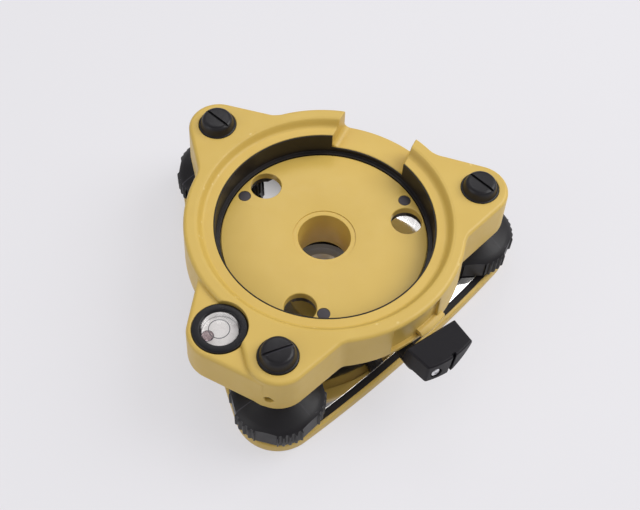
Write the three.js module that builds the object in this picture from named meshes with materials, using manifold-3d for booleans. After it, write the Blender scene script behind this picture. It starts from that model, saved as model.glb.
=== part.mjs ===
// Surveying tribrach: a levelling base with three foot screws, a round seat and a lock lever.
// Millimetres, +Z up, underside of the base plate at height zero, foot screws at mid travel.
// Everything is built round the seat's axis. The finished group is then moved sideways so that
// the middle of its outer box stands over the origin.

import * as THREE from 'three';
import { mergeVertices } from 'three/addons/utils/BufferGeometryUtils.js';
import Module from 'manifold-3d';

const wasm = await Module();
wasm.setup();

// Shared sizes

const clearance = 0.3;
const seatGap = 0.1;
const overrun = 6;
const arcStep = 7.5;
const ballStep = 30;
const cornerStep = 18;
const roundingShare = 1e-6;
const sideSteps = 5;
const frontSteps = 10;
const roundSides = 48;
const middleSides = 24;
const smallSides = 18;
const screwSides = 10;

// The three feet, seen from above, and the directions halfway between them

const feet = { angles: [150, 30, 270], beyondRing: 8 };
const sideAngles = [90, 330, 210];

// Base plate

const base = { thickness: 5.5, corner: 16.5, bow: 2.4, edge: 1.2 };
const boss = { radius: 5, height: 1.1, inset: 13.7 };

// Tripod bush, with the thread's inner diameter

const bush = { radius: 11.2, bore: 6.9, rise: 2.5, sink: 0.5, lead: 1.2, edge: 0.5 };
const bushCollar = { reach: 2.6, height: 1.2 };

// Spring plate and its screws

const spring = { thickness: 0.8, corner: 13, bow: 2.4, eyeGap: 2.2 };
const springScrew = { head: 2.9, headHeight: 1.7, shank: 1.3, depth: 5.4, socket: 1.3, socketDepth: 0.9 };

// Foot screws and their knobs

const footScrew = { ball: 3.4, ballSink: 0.3, neck: 2.6, shank: 4, drop: 5.4, chamfer: 0.8 };
const knob = { radius: 18.2, gap: 0.7, rim: 7.4, height: 14.2 };
const knobShoulderShares = [[0.945, 0.61], [0.86, 0.69], [0.48, 0.93], [0.44, 1]];
const knobGrip = { groups: 6, ribs: 4, ribPitch: 8, ribDepth: 0.8, phases: [10, 50.6, 32] };
const ribShares = [[0, 1], [0.28, 0], [0.72, 0]];

// Seat plate, with its tube, and the band round it

const seat = { radius: 39.9, play: 1.8, rise: 2.3, thickness: 3.2, rimHeight: 1.8, edge: 0.3 };
const seatTube = { bore: 10.25, wall: 3.05, drop: 15.9, ringWidth: 1.95, ringDepth: 0.4 };
const seatFlange = { reach: 7.1 };
const stud = { radius: 6.15, margin: 0.45 };
const pad = { radius: 2.4, beyondStuds: [3.3, 3.3, 1.2], turn: 15.2, depth: 1 };
const seatScrew = { inset: 0.6, head: 2.2, headHeight: 1.7, shank: 1.3, length: 6.5 };
const seatScrewAngles = [0, 120, 240];
const seatScrewSocket = { radius: 1.1, depth: 0.8 };
const liner = { wall: 0.4, top: 0.2, footGap: 0.4, footHeight: 1.7 };

// Casting: ring, lobes and the lower platform of the level

const body = { gap: 4.5, height: 18.6, rim: 4.5, draft: 0.5, edge: 1.6 };
const lobe = { inset: 0.6, radius: 11.7, flare: 31, blend: 3.5 };
const lip = { drop: 3.1, flat: 3.3, slope: 3.4, edge: 0.2 };
const platform = { drop: 2.2, rim: 1.95, sideNormal: 187.6, sideRun: 23.6, insideAngle: 250 };
const notch = { angle: 80, width: 31.1, floor: 8, corner: 2.8 };
const recess = { from: 312.8, to: 337, roof: 2.2, floor: 1.5, depth: 1.3 };
const ledge = { from: 326.2, to: 340, height: 4.6, thickness: 2.5, proud: 2.2 };

// Pieces in the lobes

const footBush = { radius: 7, hang: 1, drop: 4.1 };
const cap = { plugGap: 0.4, plugDepth: 1.4, flange: 0.5, seat: 1.6, ledge: 0.6 };
const capCrown = { rise: 3.9, inset: 1.65, shoulder: 0.8, wall: 1.1 };
const capLifts = [0, 0, 0.6];
const capSlot = { width: 1.1, depth: 0.9, angles: [-25.7, -28.3, 37.5] };
const grub = { radius: 1.35, height: 6.1, sink: 1, gap: 0.4 };

// Lock ring, its retaining ring and the lever

const lockRing = { gap: 0.4, thickness: 2.5, wall: 1.6, play: 0.45, slot: 4.6, sweep: 16 };
const retainer = { reach: 6.7, thickness: 1.4 };
const arm = { angle: 320, overlap: 15.5, thickness: 2.3, width: 8, bend: 4 };
const rivet = { radius: 1.6, head: 2.6, tip: 1.9, headHeight: 0.7, along: [4, 12] };
const grip = { gap: 5.5, depth: 10.2, bulge: 1.8, left: -5.2, right: 16.9, bottom: 2.7, height: 8.7 };
const gripForm = { flare: 0.9, edge: 0.6, cutFrom: 7, cutDrop: 1.3, cutReach: 19 };
const gripSlit = { top: 7.2, bottom: 4.4, width: 1.5, depth: 1.2 };
const tab = { inset: 2.1, thickness: 2.2, drop: 2.5 };
const leverScrew = { radius: 1.9, drop: 4.9, head: 1.5, proud: 1.8, shank: 1.2 };
const leverScrewSlot = { width: 0.6, depth: 0.5 };

// Circular level

const level = { beside: 23.25, behind: 5, radius: 10.1, depth: 8.4, proud: 0.6, floor: 1.5 };
const levelMouth = { rim: 3.1, lead: 0.4, edge: 0.7 };
const vial = { height: 3.3, dome: 0.3, sink: 0.1 };
const vialDomeShares = [[1, 1], [0.7, 0.45], [0.35, 0.1], [0, 0]];

// Radii that follow from the sizes above, from the seat outwards

const linerInner = seat.radius + seat.play;
const linerOuter = linerInner + liner.wall;
const lipBore = linerOuter + clearance;
const lipInner = lipBore + lip.flat;
const lipOuter = lipInner + lip.slope;
const ringRadius = lipOuter + body.rim;
const feetCircle = ringRadius + feet.beyondRing;
const lobeCircle = feetCircle - lobe.inset;
const flangeRadius = seat.radius + seatFlange.reach;
const shoulderRadius = flangeRadius + clearance;
const seatScrewCircle = lipBore + seatScrew.shank + clearance + seatScrew.inset;
const studCircle = seat.radius - stud.radius - stud.margin;
const tubeRadius = seatTube.bore + seatTube.wall;
const capPlug = footBush.radius + clearance - cap.plugGap;
const capFlange = capPlug + cap.flange;
const crownRadius = capFlange - capCrown.inset;
const baseMidSide = feetCircle / 2 + base.corner + base.bow;
const springMidSide = feetCircle / 2 + spring.corner + spring.bow;
const bossCircle = baseMidSide - boss.inset;
const collarRadius = bush.radius + bushCollar.reach;
const springEye = collarRadius + spring.eyeGap;
const lockHole = stud.radius + lockRing.play;
const lockOuter = studCircle + lockHole + lockRing.wall;
const retainerRadius = tubeRadius + retainer.reach;
const armInner = lockOuter - arm.overlap;
const gripInner = ringRadius + grip.gap;
const gripFront = gripInner + grip.depth;
const tabInner = gripInner + tab.inset;
const screwFace = gripFront + leverScrew.proud;
const screwRecess = leverScrew.radius + clearance;
const levelBore = level.radius - levelMouth.rim;
const vialRadius = levelBore - clearance;

// Heights that follow from the sizes above, from the base upwards

const ballHeight = base.thickness - footScrew.ballSink;
const bushTop = base.thickness + bush.rise;
const springBottom = base.thickness + boss.height + clearance;
const springTop = springBottom + spring.thickness;
const knobBottom = springTop + knob.gap;
const bodyBottom = knobBottom + knob.height + body.gap;
const bodyTop = bodyBottom + body.height;
const lipTop = bodyTop - lip.drop;
const platformTop = bodyTop - platform.drop;
const ledgeTop = bodyBottom + ledge.height;
const grubHeight = bodyBottom + grub.height;
const footScrewTop = bodyTop - footScrew.drop;
const footBushTop = bodyTop - footBush.drop;
const seatUnderside = bodyBottom + seat.rise;
const seatTop = seatUnderside + seat.thickness;
const flangeTop = seatUnderside + seat.rimHeight;
const shoulderTop = flangeTop + clearance;
const lockTop = seatUnderside - lockRing.gap;
const ringBottom = lockTop - lockRing.thickness;
const armTop = ringBottom - clearance;
const armBottom = armTop - arm.thickness;
const gripBottom = bodyBottom + grip.bottom;
const gripTop = gripBottom + grip.height;
const tabTop = gripTop - tab.drop;
const screwHeight = gripTop - leverScrew.drop;
const levelTop = platformTop + level.proud;

const radians = THREE.MathUtils.degToRad;

const finishes = {
  paint: new THREE.MeshStandardMaterial({ color: 0xdcbd66, roughness: 0.5, metalness: 0.1 }),
  black: new THREE.MeshStandardMaterial({ color: 0x26242a, roughness: 0.55, metalness: 0 }),
  band: new THREE.MeshStandardMaterial({ color: 0x1f1d1e, roughness: 0.6, metalness: 0.2 }),
  pad: new THREE.MeshStandardMaterial({ color: 0x5d5760, roughness: 0.5, metalness: 0.6 }),
  steel: new THREE.MeshStandardMaterial({ color: 0xc9c9cc, roughness: 0.2, metalness: 1 }),
  brass: new THREE.MeshStandardMaterial({ color: 0xb5923f, roughness: 0.35, metalness: 1 }),
  white: new THREE.MeshStandardMaterial({ color: 0xf2f1ee, roughness: 0.4, metalness: 0 }),
  glass: new THREE.MeshStandardMaterial({
    color: 0xf4f8f6, roughness: 0.05, metalness: 0, transparent: true, opacity: 0.35,
  }),
};

const tribrach = new THREE.Group();

// Points on a plan

function at(angle, radius) {
  return new THREE.Vector2(radius * Math.cos(radians(angle)), radius * Math.sin(radians(angle)));
}

function arc(center, radius, from, to, step = arcStep) {
  const count = Math.max(2, Math.ceil(Math.abs(to - from) / step - roundingShare));
  const points = [];
  for (let i = 0; i <= count; i += 1) {
    points.push(at(from + ((to - from) * i) / count, radius).add(center));
  }
  return points;
}

function circle(center, radius, sides = smallSides) {
  const full = arc(center, radius, 0, 360, 360 / sides);
  full.pop();
  return full;
}

// Solids

function toSolid(geometry) {
  geometry.deleteAttribute('normal');
  geometry.deleteAttribute('uv');
  const merged = mergeVertices(geometry);
  const index = merged.index.array;
  const triangles = [];
  for (let i = 0; i < index.length; i += 3) {
    const [a, b, c] = [index[i], index[i + 1], index[i + 2]];
    if (a !== b && b !== c && c !== a) {
      triangles.push(a, b, c);
    }
  }
  const vertProperties = new Float32Array(merged.attributes.position.array);
  const triVerts = new Uint32Array(triangles);
  return new wasm.Manifold(new wasm.Mesh({ numProp: 3, vertProperties, triVerts }));
}

// Stacks one outline at several heights, each drawn in by its own inset, and closes both ends.
function loft(outline, layers) {
  const count = outline.length;
  const normals = outline.map((point, i) => {
    const before = outline[(i + count - 1) % count];
    const after = outline[(i + 1) % count];
    const a = new THREE.Vector2(point.y - before.y, before.x - point.x).normalize();
    const b = new THREE.Vector2(after.y - point.y, point.x - after.x).normalize();
    const sum = a.clone().add(b);
    return sum.multiplyScalar(2 / Math.max(sum.lengthSq(), 1));
  });
  const positions = [];
  for (const [height, inset] of layers) {
    outline.forEach((point, i) => {
      positions.push(point.x - normals[i].x * inset, point.y - normals[i].y * inset, height);
    });
  }
  const indices = [];
  for (let layer = 0; layer + 1 < layers.length; layer += 1) {
    for (let i = 0; i < count; i += 1) {
      const a = layer * count + i;
      const b = layer * count + ((i + 1) % count);
      indices.push(a, b, b + count, a, b + count, a + count);
    }
  }
  const top = (layers.length - 1) * count;
  for (const [a, b, c] of THREE.ShapeUtils.triangulateShape(outline, [])) {
    indices.push(c, b, a, top + a, top + b, top + c);
  }
  const geometry = new THREE.BufferGeometry();
  geometry.setAttribute('position', new THREE.Float32BufferAttribute(positions, 3));
  geometry.setIndex(indices);
  return toSolid(geometry);
}

function prism(outline, bottom, top) {
  return loft(outline, [[bottom, 0], [top, 0]]);
}

// Heights and insets of a quarter-round edge at the top of a loft.
function roundedTop(top, radius, steps = 2) {
  const layers = [];
  for (let i = 0; i <= steps; i += 1) {
    const angle = radians((90 * i) / steps);
    layers.push([top - radius + radius * Math.sin(angle), radius * (1 - Math.cos(angle))]);
  }
  return layers;
}

// Turns a profile of radius and height round the vertical axis at a place on the plan. The profile
// runs up the outside, so that the faces point out.
function turned(profile, center = new THREE.Vector2(), sides = smallSides) {
  const points = profile.map(([radius, height]) => new THREE.Vector2(radius, height));
  if (points[0].x !== 0) {
    points.push(points[0].clone());
  }
  const geometry = new THREE.LatheGeometry(points, sides);
  geometry.rotateX(Math.PI / 2);
  geometry.translate(center.x, center.y, 0);
  return toSolid(geometry);
}

function rod(center, radius, bottom, top, sides = smallSides) {
  return prism(circle(center, radius, sides), bottom, top);
}

// A round pin along the level line that runs outward at an angle, from one reach to another.
function radialPin(angle, height, radius, from, to, sides = screwSides) {
  const geometry = new THREE.CylinderGeometry(radius, radius, to - from, sides);
  geometry.rotateZ(Math.PI / 2);
  geometry.translate((from + to) / 2, 0, height);
  geometry.rotateZ(radians(angle));
  return toSolid(geometry);
}

// A flat shape drawn on a cross-section plane of sideways distance and height, run outward along
// an angle from one reach to another.
function radialBar(outline, angle, from, to) {
  const settings = { depth: to - from, bevelEnabled: false };
  const geometry = new THREE.ExtrudeGeometry(new THREE.Shape(outline), settings);
  geometry.rotateX(Math.PI / 2);
  geometry.rotateZ(Math.PI / 2);
  geometry.translate(from, 0, 0);
  geometry.rotateZ(radians(angle));
  return toSolid(geometry);
}

// A flat shape drawn on the plane of reach and height at an angle, run sideways by a width.
function uprightPlate(outline, angle, width) {
  const settings = { depth: width, bevelEnabled: false };
  const geometry = new THREE.ExtrudeGeometry(new THREE.Shape(outline), settings);
  geometry.rotateX(Math.PI / 2);
  geometry.translate(0, width / 2, 0);
  geometry.rotateZ(radians(angle));
  return toSolid(geometry);
}

function sector(inner, outer, from, to, bottom, top) {
  const origin = new THREE.Vector2();
  const outline = [...arc(origin, outer, from, to), ...arc(origin, inner, to, from)];
  return prism(outline, bottom, top);
}

function cut(solid, ...cutters) {
  return cutters.reduce((rest, cutter) => rest.subtract(cutter), solid);
}

function addPiece(name, solid, material) {
  const mesh = solid.getMesh();
  const geometry = new THREE.BufferGeometry();
  geometry.setAttribute('position', new THREE.BufferAttribute(new Float32Array(mesh.vertProperties), 3));
  geometry.setIndex(Array.from(mesh.triVerts));
  geometry.computeVertexNormals();
  const piece = new THREE.Mesh(geometry, material);
  piece.name = name;
  tribrach.add(piece);
}

// Outlines

// A three-cornered plate with round corners about the feet and sides that bow out a little.
function triangleOutline(corner, midSide) {
  const across = feetCircle * Math.cos(radians(60));
  const along = feetCircle * Math.sin(radians(60));
  const reach = midSide - corner;
  const back = (across * across + along * along - reach * reach) / (2 * (reach - across));
  const bow = THREE.MathUtils.radToDeg(Math.atan2(along, back + across));
  const points = [];
  for (const angle of [30, 150, 270]) {
    const sideAngle = angle + 60;
    points.push(...arc(at(angle, feetCircle), corner, bow - 60 + angle, sideAngle - bow, arcStep * 2));
    const sideStep = (2 * bow) / sideSteps;
    const side = arc(at(sideAngle, -back), back + midSide, sideAngle - bow, sideAngle + bow, sideStep);
    points.push(...side.slice(1, -1));
  }
  return points;
}

// The ring with its three lobes: each lobe's straight flanks are blended into the ring.
function ringOutline() {
  const flare = radians(lobe.flare);
  const normal = new THREE.Vector2(Math.sin(flare), Math.cos(flare));
  const inward = new THREE.Vector2(-Math.cos(flare), Math.sin(flare));
  const start = new THREE.Vector2(lobeCircle, 0).addScaledVector(normal, lobe.radius + lobe.blend);
  const reach = ringRadius + lobe.blend;
  const half = start.dot(inward);
  const run = -half - Math.sqrt(half * half - start.lengthSq() + reach * reach);
  const center = start.clone().addScaledVector(inward, run);
  const turn = THREE.MathUtils.radToDeg(center.angle());
  const blendFrom = 270 - lobe.flare;
  const blendTo = 180 + turn;
  const points = [];
  for (const angle of [30, 150, 270]) {
    const before = at(angle - turn, reach);
    const after = at(angle + turn, reach);
    points.push(...arc(before, lobe.blend, angle - blendTo, angle - blendFrom, arcStep * 2));
    const spread = 90 - lobe.flare;
    points.push(...arc(at(angle, lobeCircle), lobe.radius, angle - spread, angle + spread, arcStep * 2));
    points.push(...arc(after, lobe.blend, angle + blendFrom, angle + blendTo, arcStep * 2));
    points.push(...arc(new THREE.Vector2(), ringRadius, angle + turn, angle + 120 - turn).slice(1, -1));
  }
  return points;
}

// The platform of the level, tangent to the front lobe, with its inner corners inside the ring.
function platformOutline() {
  const center = new THREE.Vector2(-level.beside, level.behind - lobeCircle);
  const front = at(feet.angles[2], lobeCircle);
  const toFront = front.clone().sub(center);
  const lower = THREE.MathUtils.radToDeg(toFront.angle()) - 90;
  const points = arc(center, level.radius + platform.rim, platform.sideNormal, lower, arcStep * 2);
  const upper = points[0].clone().add(at(platform.sideNormal - 90, platform.sideRun));
  const foot = front.clone().add(at(lower, lobe.radius));
  return [upper, ...points, foot, front, at(platform.insideAngle, lipInner)];
}

// Rim of a knob: flats at even turns, with groups of ribs between them.
function knobOutline(phase) {
  const period = 360 / knobGrip.groups;
  const ribbed = knobGrip.ribs * knobGrip.ribPitch;
  const points = [];
  for (let group = 0; group < knobGrip.groups; group += 1) {
    const start = phase + group * period + (period - ribbed) / 2;
    for (let rib = 0; rib < knobGrip.ribs; rib += 1) {
      for (const [turn, depth] of ribShares) {
        const radius = knob.radius - knobGrip.ribDepth * depth;
        points.push(at(start + (rib + turn) * knobGrip.ribPitch, radius));
      }
    }
    points.push(at(start + ribbed, knob.radius - knobGrip.ribDepth));
  }
  return points;
}

// Base group

function addBasePlate() {
  const rounded = roundedTop(base.thickness, base.edge);
  const lowerEdge = rounded.map(([height, inset]) => [base.thickness - height, inset]).reverse();
  let plate = loft(triangleOutline(base.corner, baseMidSide), [...lowerEdge, ...rounded]);
  for (const angle of sideAngles) {
    const center = at(angle, bossCircle);
    const holeBottom = springTop - springScrew.depth;
    plate = plate.add(rod(center, boss.radius, base.thickness / 2, base.thickness + boss.height));
    plate = cut(plate, rod(center, springScrew.shank + clearance, holeBottom, springTop, screwSides));
  }
  for (const angle of feet.angles) {
    plate = cut(plate, ballSocket(at(angle, feetCircle)));
  }
  const origin = new THREE.Vector2();
  const high = base.thickness + overrun;
  const hole = rod(origin, bush.radius + clearance, -overrun, high, middleSides);
  addPiece('base_plate', cut(plate, hole), finishes.paint);
}

function ballSocket(center) {
  const radius = footScrew.ball + clearance;
  const high = base.thickness + overrun;
  const bowl = arc(new THREE.Vector2(0, ballHeight), radius, -90, 0, ballStep).map((p) => [p.x, p.y]);
  bowl[0][0] = 0;
  return turned([...bowl, [radius, high], [0, high]], center, screwSides);
}

function addTripodBush() {
  const collarBottom = base.thickness + seatGap;
  const collarTop = collarBottom + bushCollar.height;
  const profile = [
    [bush.bore, bush.sink],
    [bush.radius, bush.sink],
    [bush.radius, collarBottom],
    [collarRadius, collarBottom],
    [collarRadius, collarTop],
    [bush.radius, collarTop],
    [bush.radius, bushTop - bush.edge],
    [bush.radius - bush.edge, bushTop],
    [bush.bore + bush.lead, bushTop],
    [bush.bore, bushTop - bush.lead],
  ];
  addPiece('tripod_bush', turned(profile, new THREE.Vector2(), middleSides), finishes.steel);
}

function addSpringPlate() {
  const high = springTop + overrun;
  const eye = footScrew.ball - clearance / 2;
  let plate = prism(triangleOutline(spring.corner, springMidSide), springBottom, springTop);
  plate = cut(plate, rod(new THREE.Vector2(), springEye, 0, high, middleSides));
  for (const angle of feet.angles) {
    plate = cut(plate, rod(at(angle, feetCircle), eye, 0, high, screwSides));
  }
  for (const angle of sideAngles) {
    plate = cut(plate, rod(at(angle, bossCircle), springScrew.shank + clearance, 0, high, screwSides));
  }
  addPiece('spring_plate', plate, finishes.steel);
}

function addSpringPlateScrews() {
  sideAngles.forEach((angle, i) => {
    const headBottom = springTop + seatGap;
    const headTop = headBottom + springScrew.headHeight;
    const tip = springTop - springScrew.depth + clearance;
    const profile = [
      [0, tip],
      [springScrew.shank, tip],
      [springScrew.shank, headBottom],
      [springScrew.head, headBottom],
      [springScrew.head, headTop],
      [springScrew.socket, headTop],
      [springScrew.socket, headTop - springScrew.socketDepth],
      [0, headTop - springScrew.socketDepth],
    ];
    const screw = turned(profile, at(angle, bossCircle), screwSides);
    addPiece(`spring_plate_screw_${i + 1}`, screw, finishes.steel);
  });
}

// Foot groups

function addFootScrews() {
  feet.angles.forEach((angle, i) => {
    const ballCenter = new THREE.Vector2(0, ballHeight);
    const neckTurn = THREE.MathUtils.radToDeg(Math.acos(footScrew.neck / footScrew.ball));
    const ball = arc(ballCenter, footScrew.ball, -90, neckTurn, ballStep).map((p) => [p.x, p.y]);
    ball[0][0] = 0;
    const profile = [
      ...ball,
      [footScrew.neck, knobBottom - seatGap],
      [footScrew.shank, knobBottom - seatGap],
      [footScrew.shank, footScrewTop - footScrew.chamfer],
      [footScrew.shank - footScrew.chamfer, footScrewTop],
      [0, footScrewTop],
    ];
    addPiece(`foot_screw_${i + 1}`, turned(profile, at(angle, feetCircle), smallSides), finishes.steel);
  });
}

function addFootKnobs() {
  feet.angles.forEach((angle, i) => {
    const rimTop = knobBottom + knob.rim;
    const shoulderPoints = knobShoulderShares.map(([radius, height]) => [
      knob.radius * radius,
      knobBottom + knob.height * height,
    ]);
    const profile = [
      [0, knobBottom],
      [knob.radius + clearance, knobBottom],
      [knob.radius + clearance, rimTop],
      ...shoulderPoints,
      [0, knobBottom + knob.height],
    ];
    const origin = new THREE.Vector2();
    const high = knobBottom + knob.height + overrun;
    const form = turned(profile, origin, middleSides);
    const rim = prism(knobOutline(knobGrip.phases[i]), 0, high);
    const bore = rod(origin, footScrew.shank + clearance, 0, high);
    const center = at(angle, feetCircle);
    const grip = cut(form.intersect(rim), bore).translate([center.x, center.y, 0]);
    addPiece(`foot_knob_${i + 1}`, grip, finishes.black);
  });
}

// Body group

function notchCutter() {
  const half = notch.width / 2;
  const floor = bodyBottom + notch.floor;
  const corner = notch.corner;
  const left = arc(new THREE.Vector2(-half + corner, floor + corner), corner, 180, 270, cornerStep);
  const right = arc(new THREE.Vector2(half - corner, floor + corner), corner, 270, 360, cornerStep);
  const top = bodyTop + overrun;
  const outline = [new THREE.Vector2(-half, top), ...left, ...right, new THREE.Vector2(half, top)];
  return radialBar(outline, notch.angle, lipBore - overrun, ringRadius + overrun);
}

// Everything inside the ring: shoulder for the seat plate, bore, lip and the sloped step round it.
function seatCutter() {
  const slope = (lipOuter - lipInner) / lip.drop;
  return turned([
    [0, bodyBottom - overrun],
    [shoulderRadius, bodyBottom - overrun],
    [shoulderRadius, shoulderTop],
    [lipBore, shoulderTop],
    [lipBore, lipTop - lip.edge],
    [lipBore + lip.edge, lipTop],
    [lipInner, lipTop],
    [lipOuter + overrun * slope, bodyTop + overrun],
    [0, bodyTop + overrun],
  ], new THREE.Vector2(), roundSides);
}

function recessCutters() {
  const inner = ringRadius - recess.depth;
  const outer = ringRadius + overrun;
  const roof = bodyTop - recess.roof;
  return [
    sector(inner, outer, recess.from, recess.to, ledgeTop, roof),
    sector(inner, outer, recess.from, ledge.from, bodyBottom + recess.floor, roof),
  ];
}

function addBodyCasting() {
  const sides = [[bodyBottom, -body.draft], ...roundedTop(bodyTop, body.edge)];
  const low = [[bodyBottom, -body.draft], ...roundedTop(platformTop, body.edge)];
  const ledgeBottom = ledgeTop - ledge.thickness;
  const shelfInner = ringRadius - recess.depth * 2;
  const shelf = sector(shelfInner, ringRadius + ledge.proud, ledge.from, ledge.to, ledgeBottom, ledgeTop);
  let casting = loft(ringOutline(), sides).add(loft(platformOutline(), low));
  casting = cut(casting, seatCutter(), notchCutter(), ...recessCutters());
  casting = casting.add(shelf);
  feet.angles.forEach((angle) => {
    const center = at(angle, feetCircle);
    const grubReach = lobeCircle + lobe.radius + overrun;
    casting = cut(
      casting,
      rod(center, footBush.radius + clearance, 0, bodyTop + overrun),
      rod(center, capFlange + clearance, bodyTop - cap.seat, bodyTop + overrun),
      radialPin(angle, grubHeight, grub.radius + clearance, feetCircle, grubReach),
    );
  });
  for (const angle of seatScrewAngles) {
    const center = at(angle, seatScrewCircle);
    const tip = seatUnderside + seatScrew.length;
    casting = cut(casting, rod(center, seatScrew.shank + clearance, 0, tip, screwSides));
  }
  const pocketCenter = new THREE.Vector2(-level.beside, level.behind - lobeCircle);
  const pocketBottom = levelTop - level.depth - seatGap;
  const pocketTop = bodyTop + overrun;
  const pocket = rod(pocketCenter, level.radius + clearance, pocketBottom, pocketTop, middleSides);
  addPiece('body_casting', cut(casting, pocket), finishes.paint);
}

function addRimLiner() {
  const bottom = flangeTop + seatGap;
  const profile = [
    [seat.radius + liner.footGap, bottom],
    [linerOuter, bottom],
    [linerOuter, lipTop - liner.top],
    [linerInner, lipTop - liner.top],
    [linerInner, bottom + liner.footHeight],
    [seat.radius + liner.footGap, bottom + liner.footHeight - seatGap],
  ];
  const band = turned(profile, new THREE.Vector2(), roundSides);
  addPiece('rim_liner', cut(band, notchCutter()), finishes.band);
}

function addSeatPlate() {
  const profile = [
    [seatTube.bore, seatUnderside - seatTube.drop],
    [tubeRadius, seatUnderside - seatTube.drop],
    [tubeRadius, seatUnderside],
    [flangeRadius, seatUnderside],
    [flangeRadius, flangeTop],
    [seat.radius, flangeTop],
    [seat.radius, seatTop - seat.edge],
    [seat.radius - seat.edge, seatTop],
    [seatTube.bore + seatTube.ringWidth, seatTop],
    [seatTube.bore + seatTube.ringWidth, seatTop - seatTube.ringDepth],
    [seatTube.bore, seatTop - seatTube.ringDepth],
  ];
  const high = seatTop + overrun;
  const padBore = pad.radius + clearance / 2;
  let plate = turned(profile, new THREE.Vector2(), roundSides);
  feet.angles.forEach((angle, i) => {
    plate = cut(
      plate,
      rod(at(angle, studCircle), stud.radius, seatUnderside - overrun, high),
      rod(at(angle + pad.turn, studCircle + pad.beyondStuds[i]), padBore, seatTop - pad.depth, high),
    );
  });
  for (const angle of seatScrewAngles) {
    const center = at(angle, seatScrewCircle);
    plate = cut(plate, rod(center, seatScrew.shank + clearance, 0, seatTop, screwSides));
  }
  addPiece('seat_plate', plate, finishes.paint);
}

function addSeatPads() {
  feet.angles.forEach((angle, i) => {
    const bottom = seatTop - pad.depth + seatGap;
    const disc = rod(at(angle + pad.turn, studCircle + pad.beyondStuds[i]), pad.radius, bottom, seatTop);
    addPiece(`seat_pad_${i + 1}`, disc, finishes.pad);
  });
}

function addSeatPlateScrews() {
  seatScrewAngles.forEach((angle, i) => {
    const headTop = seatUnderside - seatGap;
    const headBottom = headTop - seatScrew.headHeight;
    const tip = seatUnderside + seatScrew.length - clearance;
    const profile = [
      [0, headBottom + seatScrewSocket.depth],
      [seatScrewSocket.radius, headBottom + seatScrewSocket.depth],
      [seatScrewSocket.radius, headBottom],
      [seatScrew.head, headBottom],
      [seatScrew.head, headTop],
      [seatScrew.shank, headTop],
      [seatScrew.shank, tip],
      [0, tip],
    ];
    const screw = turned(profile, at(angle, seatScrewCircle), screwSides);
    addPiece(`seat_plate_screw_${i + 1}`, screw, finishes.steel);
  });
}

function addFootBushes() {
  feet.angles.forEach((angle, i) => {
    const bore = footScrew.shank + clearance;
    const bottom = bodyBottom - footBush.hang;
    const profile = [
      [bore, bottom],
      [footBush.radius, bottom],
      [footBush.radius, footBushTop],
      [bore, footBushTop],
    ];
    addPiece(`foot_bush_${i + 1}`, turned(profile, at(angle, feetCircle)), finishes.brass);
  });
}

function addFootCaps() {
  feet.angles.forEach((angle, i) => {
    const center = at(angle, feetCircle);
    const seatHeight = bodyTop - cap.seat + seatGap + capLifts[i];
    const rimTop = bodyTop + capLifts[i];
    const top = rimTop + capCrown.rise;
    const hollow = crownRadius - capCrown.wall;
    const ceiling = top - capSlot.depth - capCrown.wall;
    const profile = [
      [0, ceiling],
      [hollow, ceiling],
      [hollow, seatHeight - cap.plugDepth],
      [capPlug, seatHeight - cap.plugDepth],
      [capPlug, seatHeight],
      [capFlange, seatHeight],
      [capFlange, rimTop],
      [capFlange - cap.ledge, rimTop],
      [crownRadius, top - capCrown.shoulder],
      [crownRadius - capCrown.shoulder, top],
      [0, top],
    ];
    const reach = capFlange + overrun;
    const slotOutline = [
      new THREE.Vector2(-capSlot.width / 2, top - capSlot.depth),
      new THREE.Vector2(capSlot.width / 2, top - capSlot.depth),
      new THREE.Vector2(capSlot.width / 2, top + overrun),
      new THREE.Vector2(-capSlot.width / 2, top + overrun),
    ];
    const slot = radialBar(slotOutline, capSlot.angles[i], -reach, reach);
    const form = cut(turned(profile), slot).translate([center.x, center.y, 0]);
    addPiece(`foot_cap_${i + 1}`, form, finishes.black);
  });
}

function addLobeSetScrews() {
  feet.angles.forEach((angle, i) => {
    const outer = lobeCircle + lobe.radius - grub.sink;
    const pin = radialPin(angle, grubHeight, grub.radius, feetCircle + footBush.radius + grub.gap, outer);
    addPiece(`lobe_set_screw_${i + 1}`, pin, finishes.steel);
  });
}

// Circular level

function addLevel() {
  const center = new THREE.Vector2(-level.beside, level.behind - lobeCircle);
  const bottom = levelTop - level.depth;
  const floor = bottom + level.floor;
  const vialTop = levelTop - vial.sink;
  const vialBottom = vialTop - vial.height;
  const caseProfile = [
    [0, bottom],
    [level.radius, bottom],
    [level.radius, levelTop - levelMouth.edge],
    [level.radius - levelMouth.edge, levelTop],
    [levelBore + levelMouth.lead, levelTop],
    [levelBore, levelTop - levelMouth.lead],
    [levelBore, floor],
    [0, floor],
  ];
  addPiece('level_case', turned(caseProfile, center, middleSides), finishes.black);
  addPiece('level_disc', rod(center, vialRadius, floor + seatGap, vialBottom - seatGap), finishes.white);
  const vialProfile = [
    [0, vialBottom],
    [vialRadius, vialBottom],
    ...vialDomeShares.map(([radius, fall]) => [vialRadius * radius, vialTop - vial.dome * fall]),
  ];
  addPiece('level_vial', turned(vialProfile, center), finishes.glass);
}

// Lock group

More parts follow.
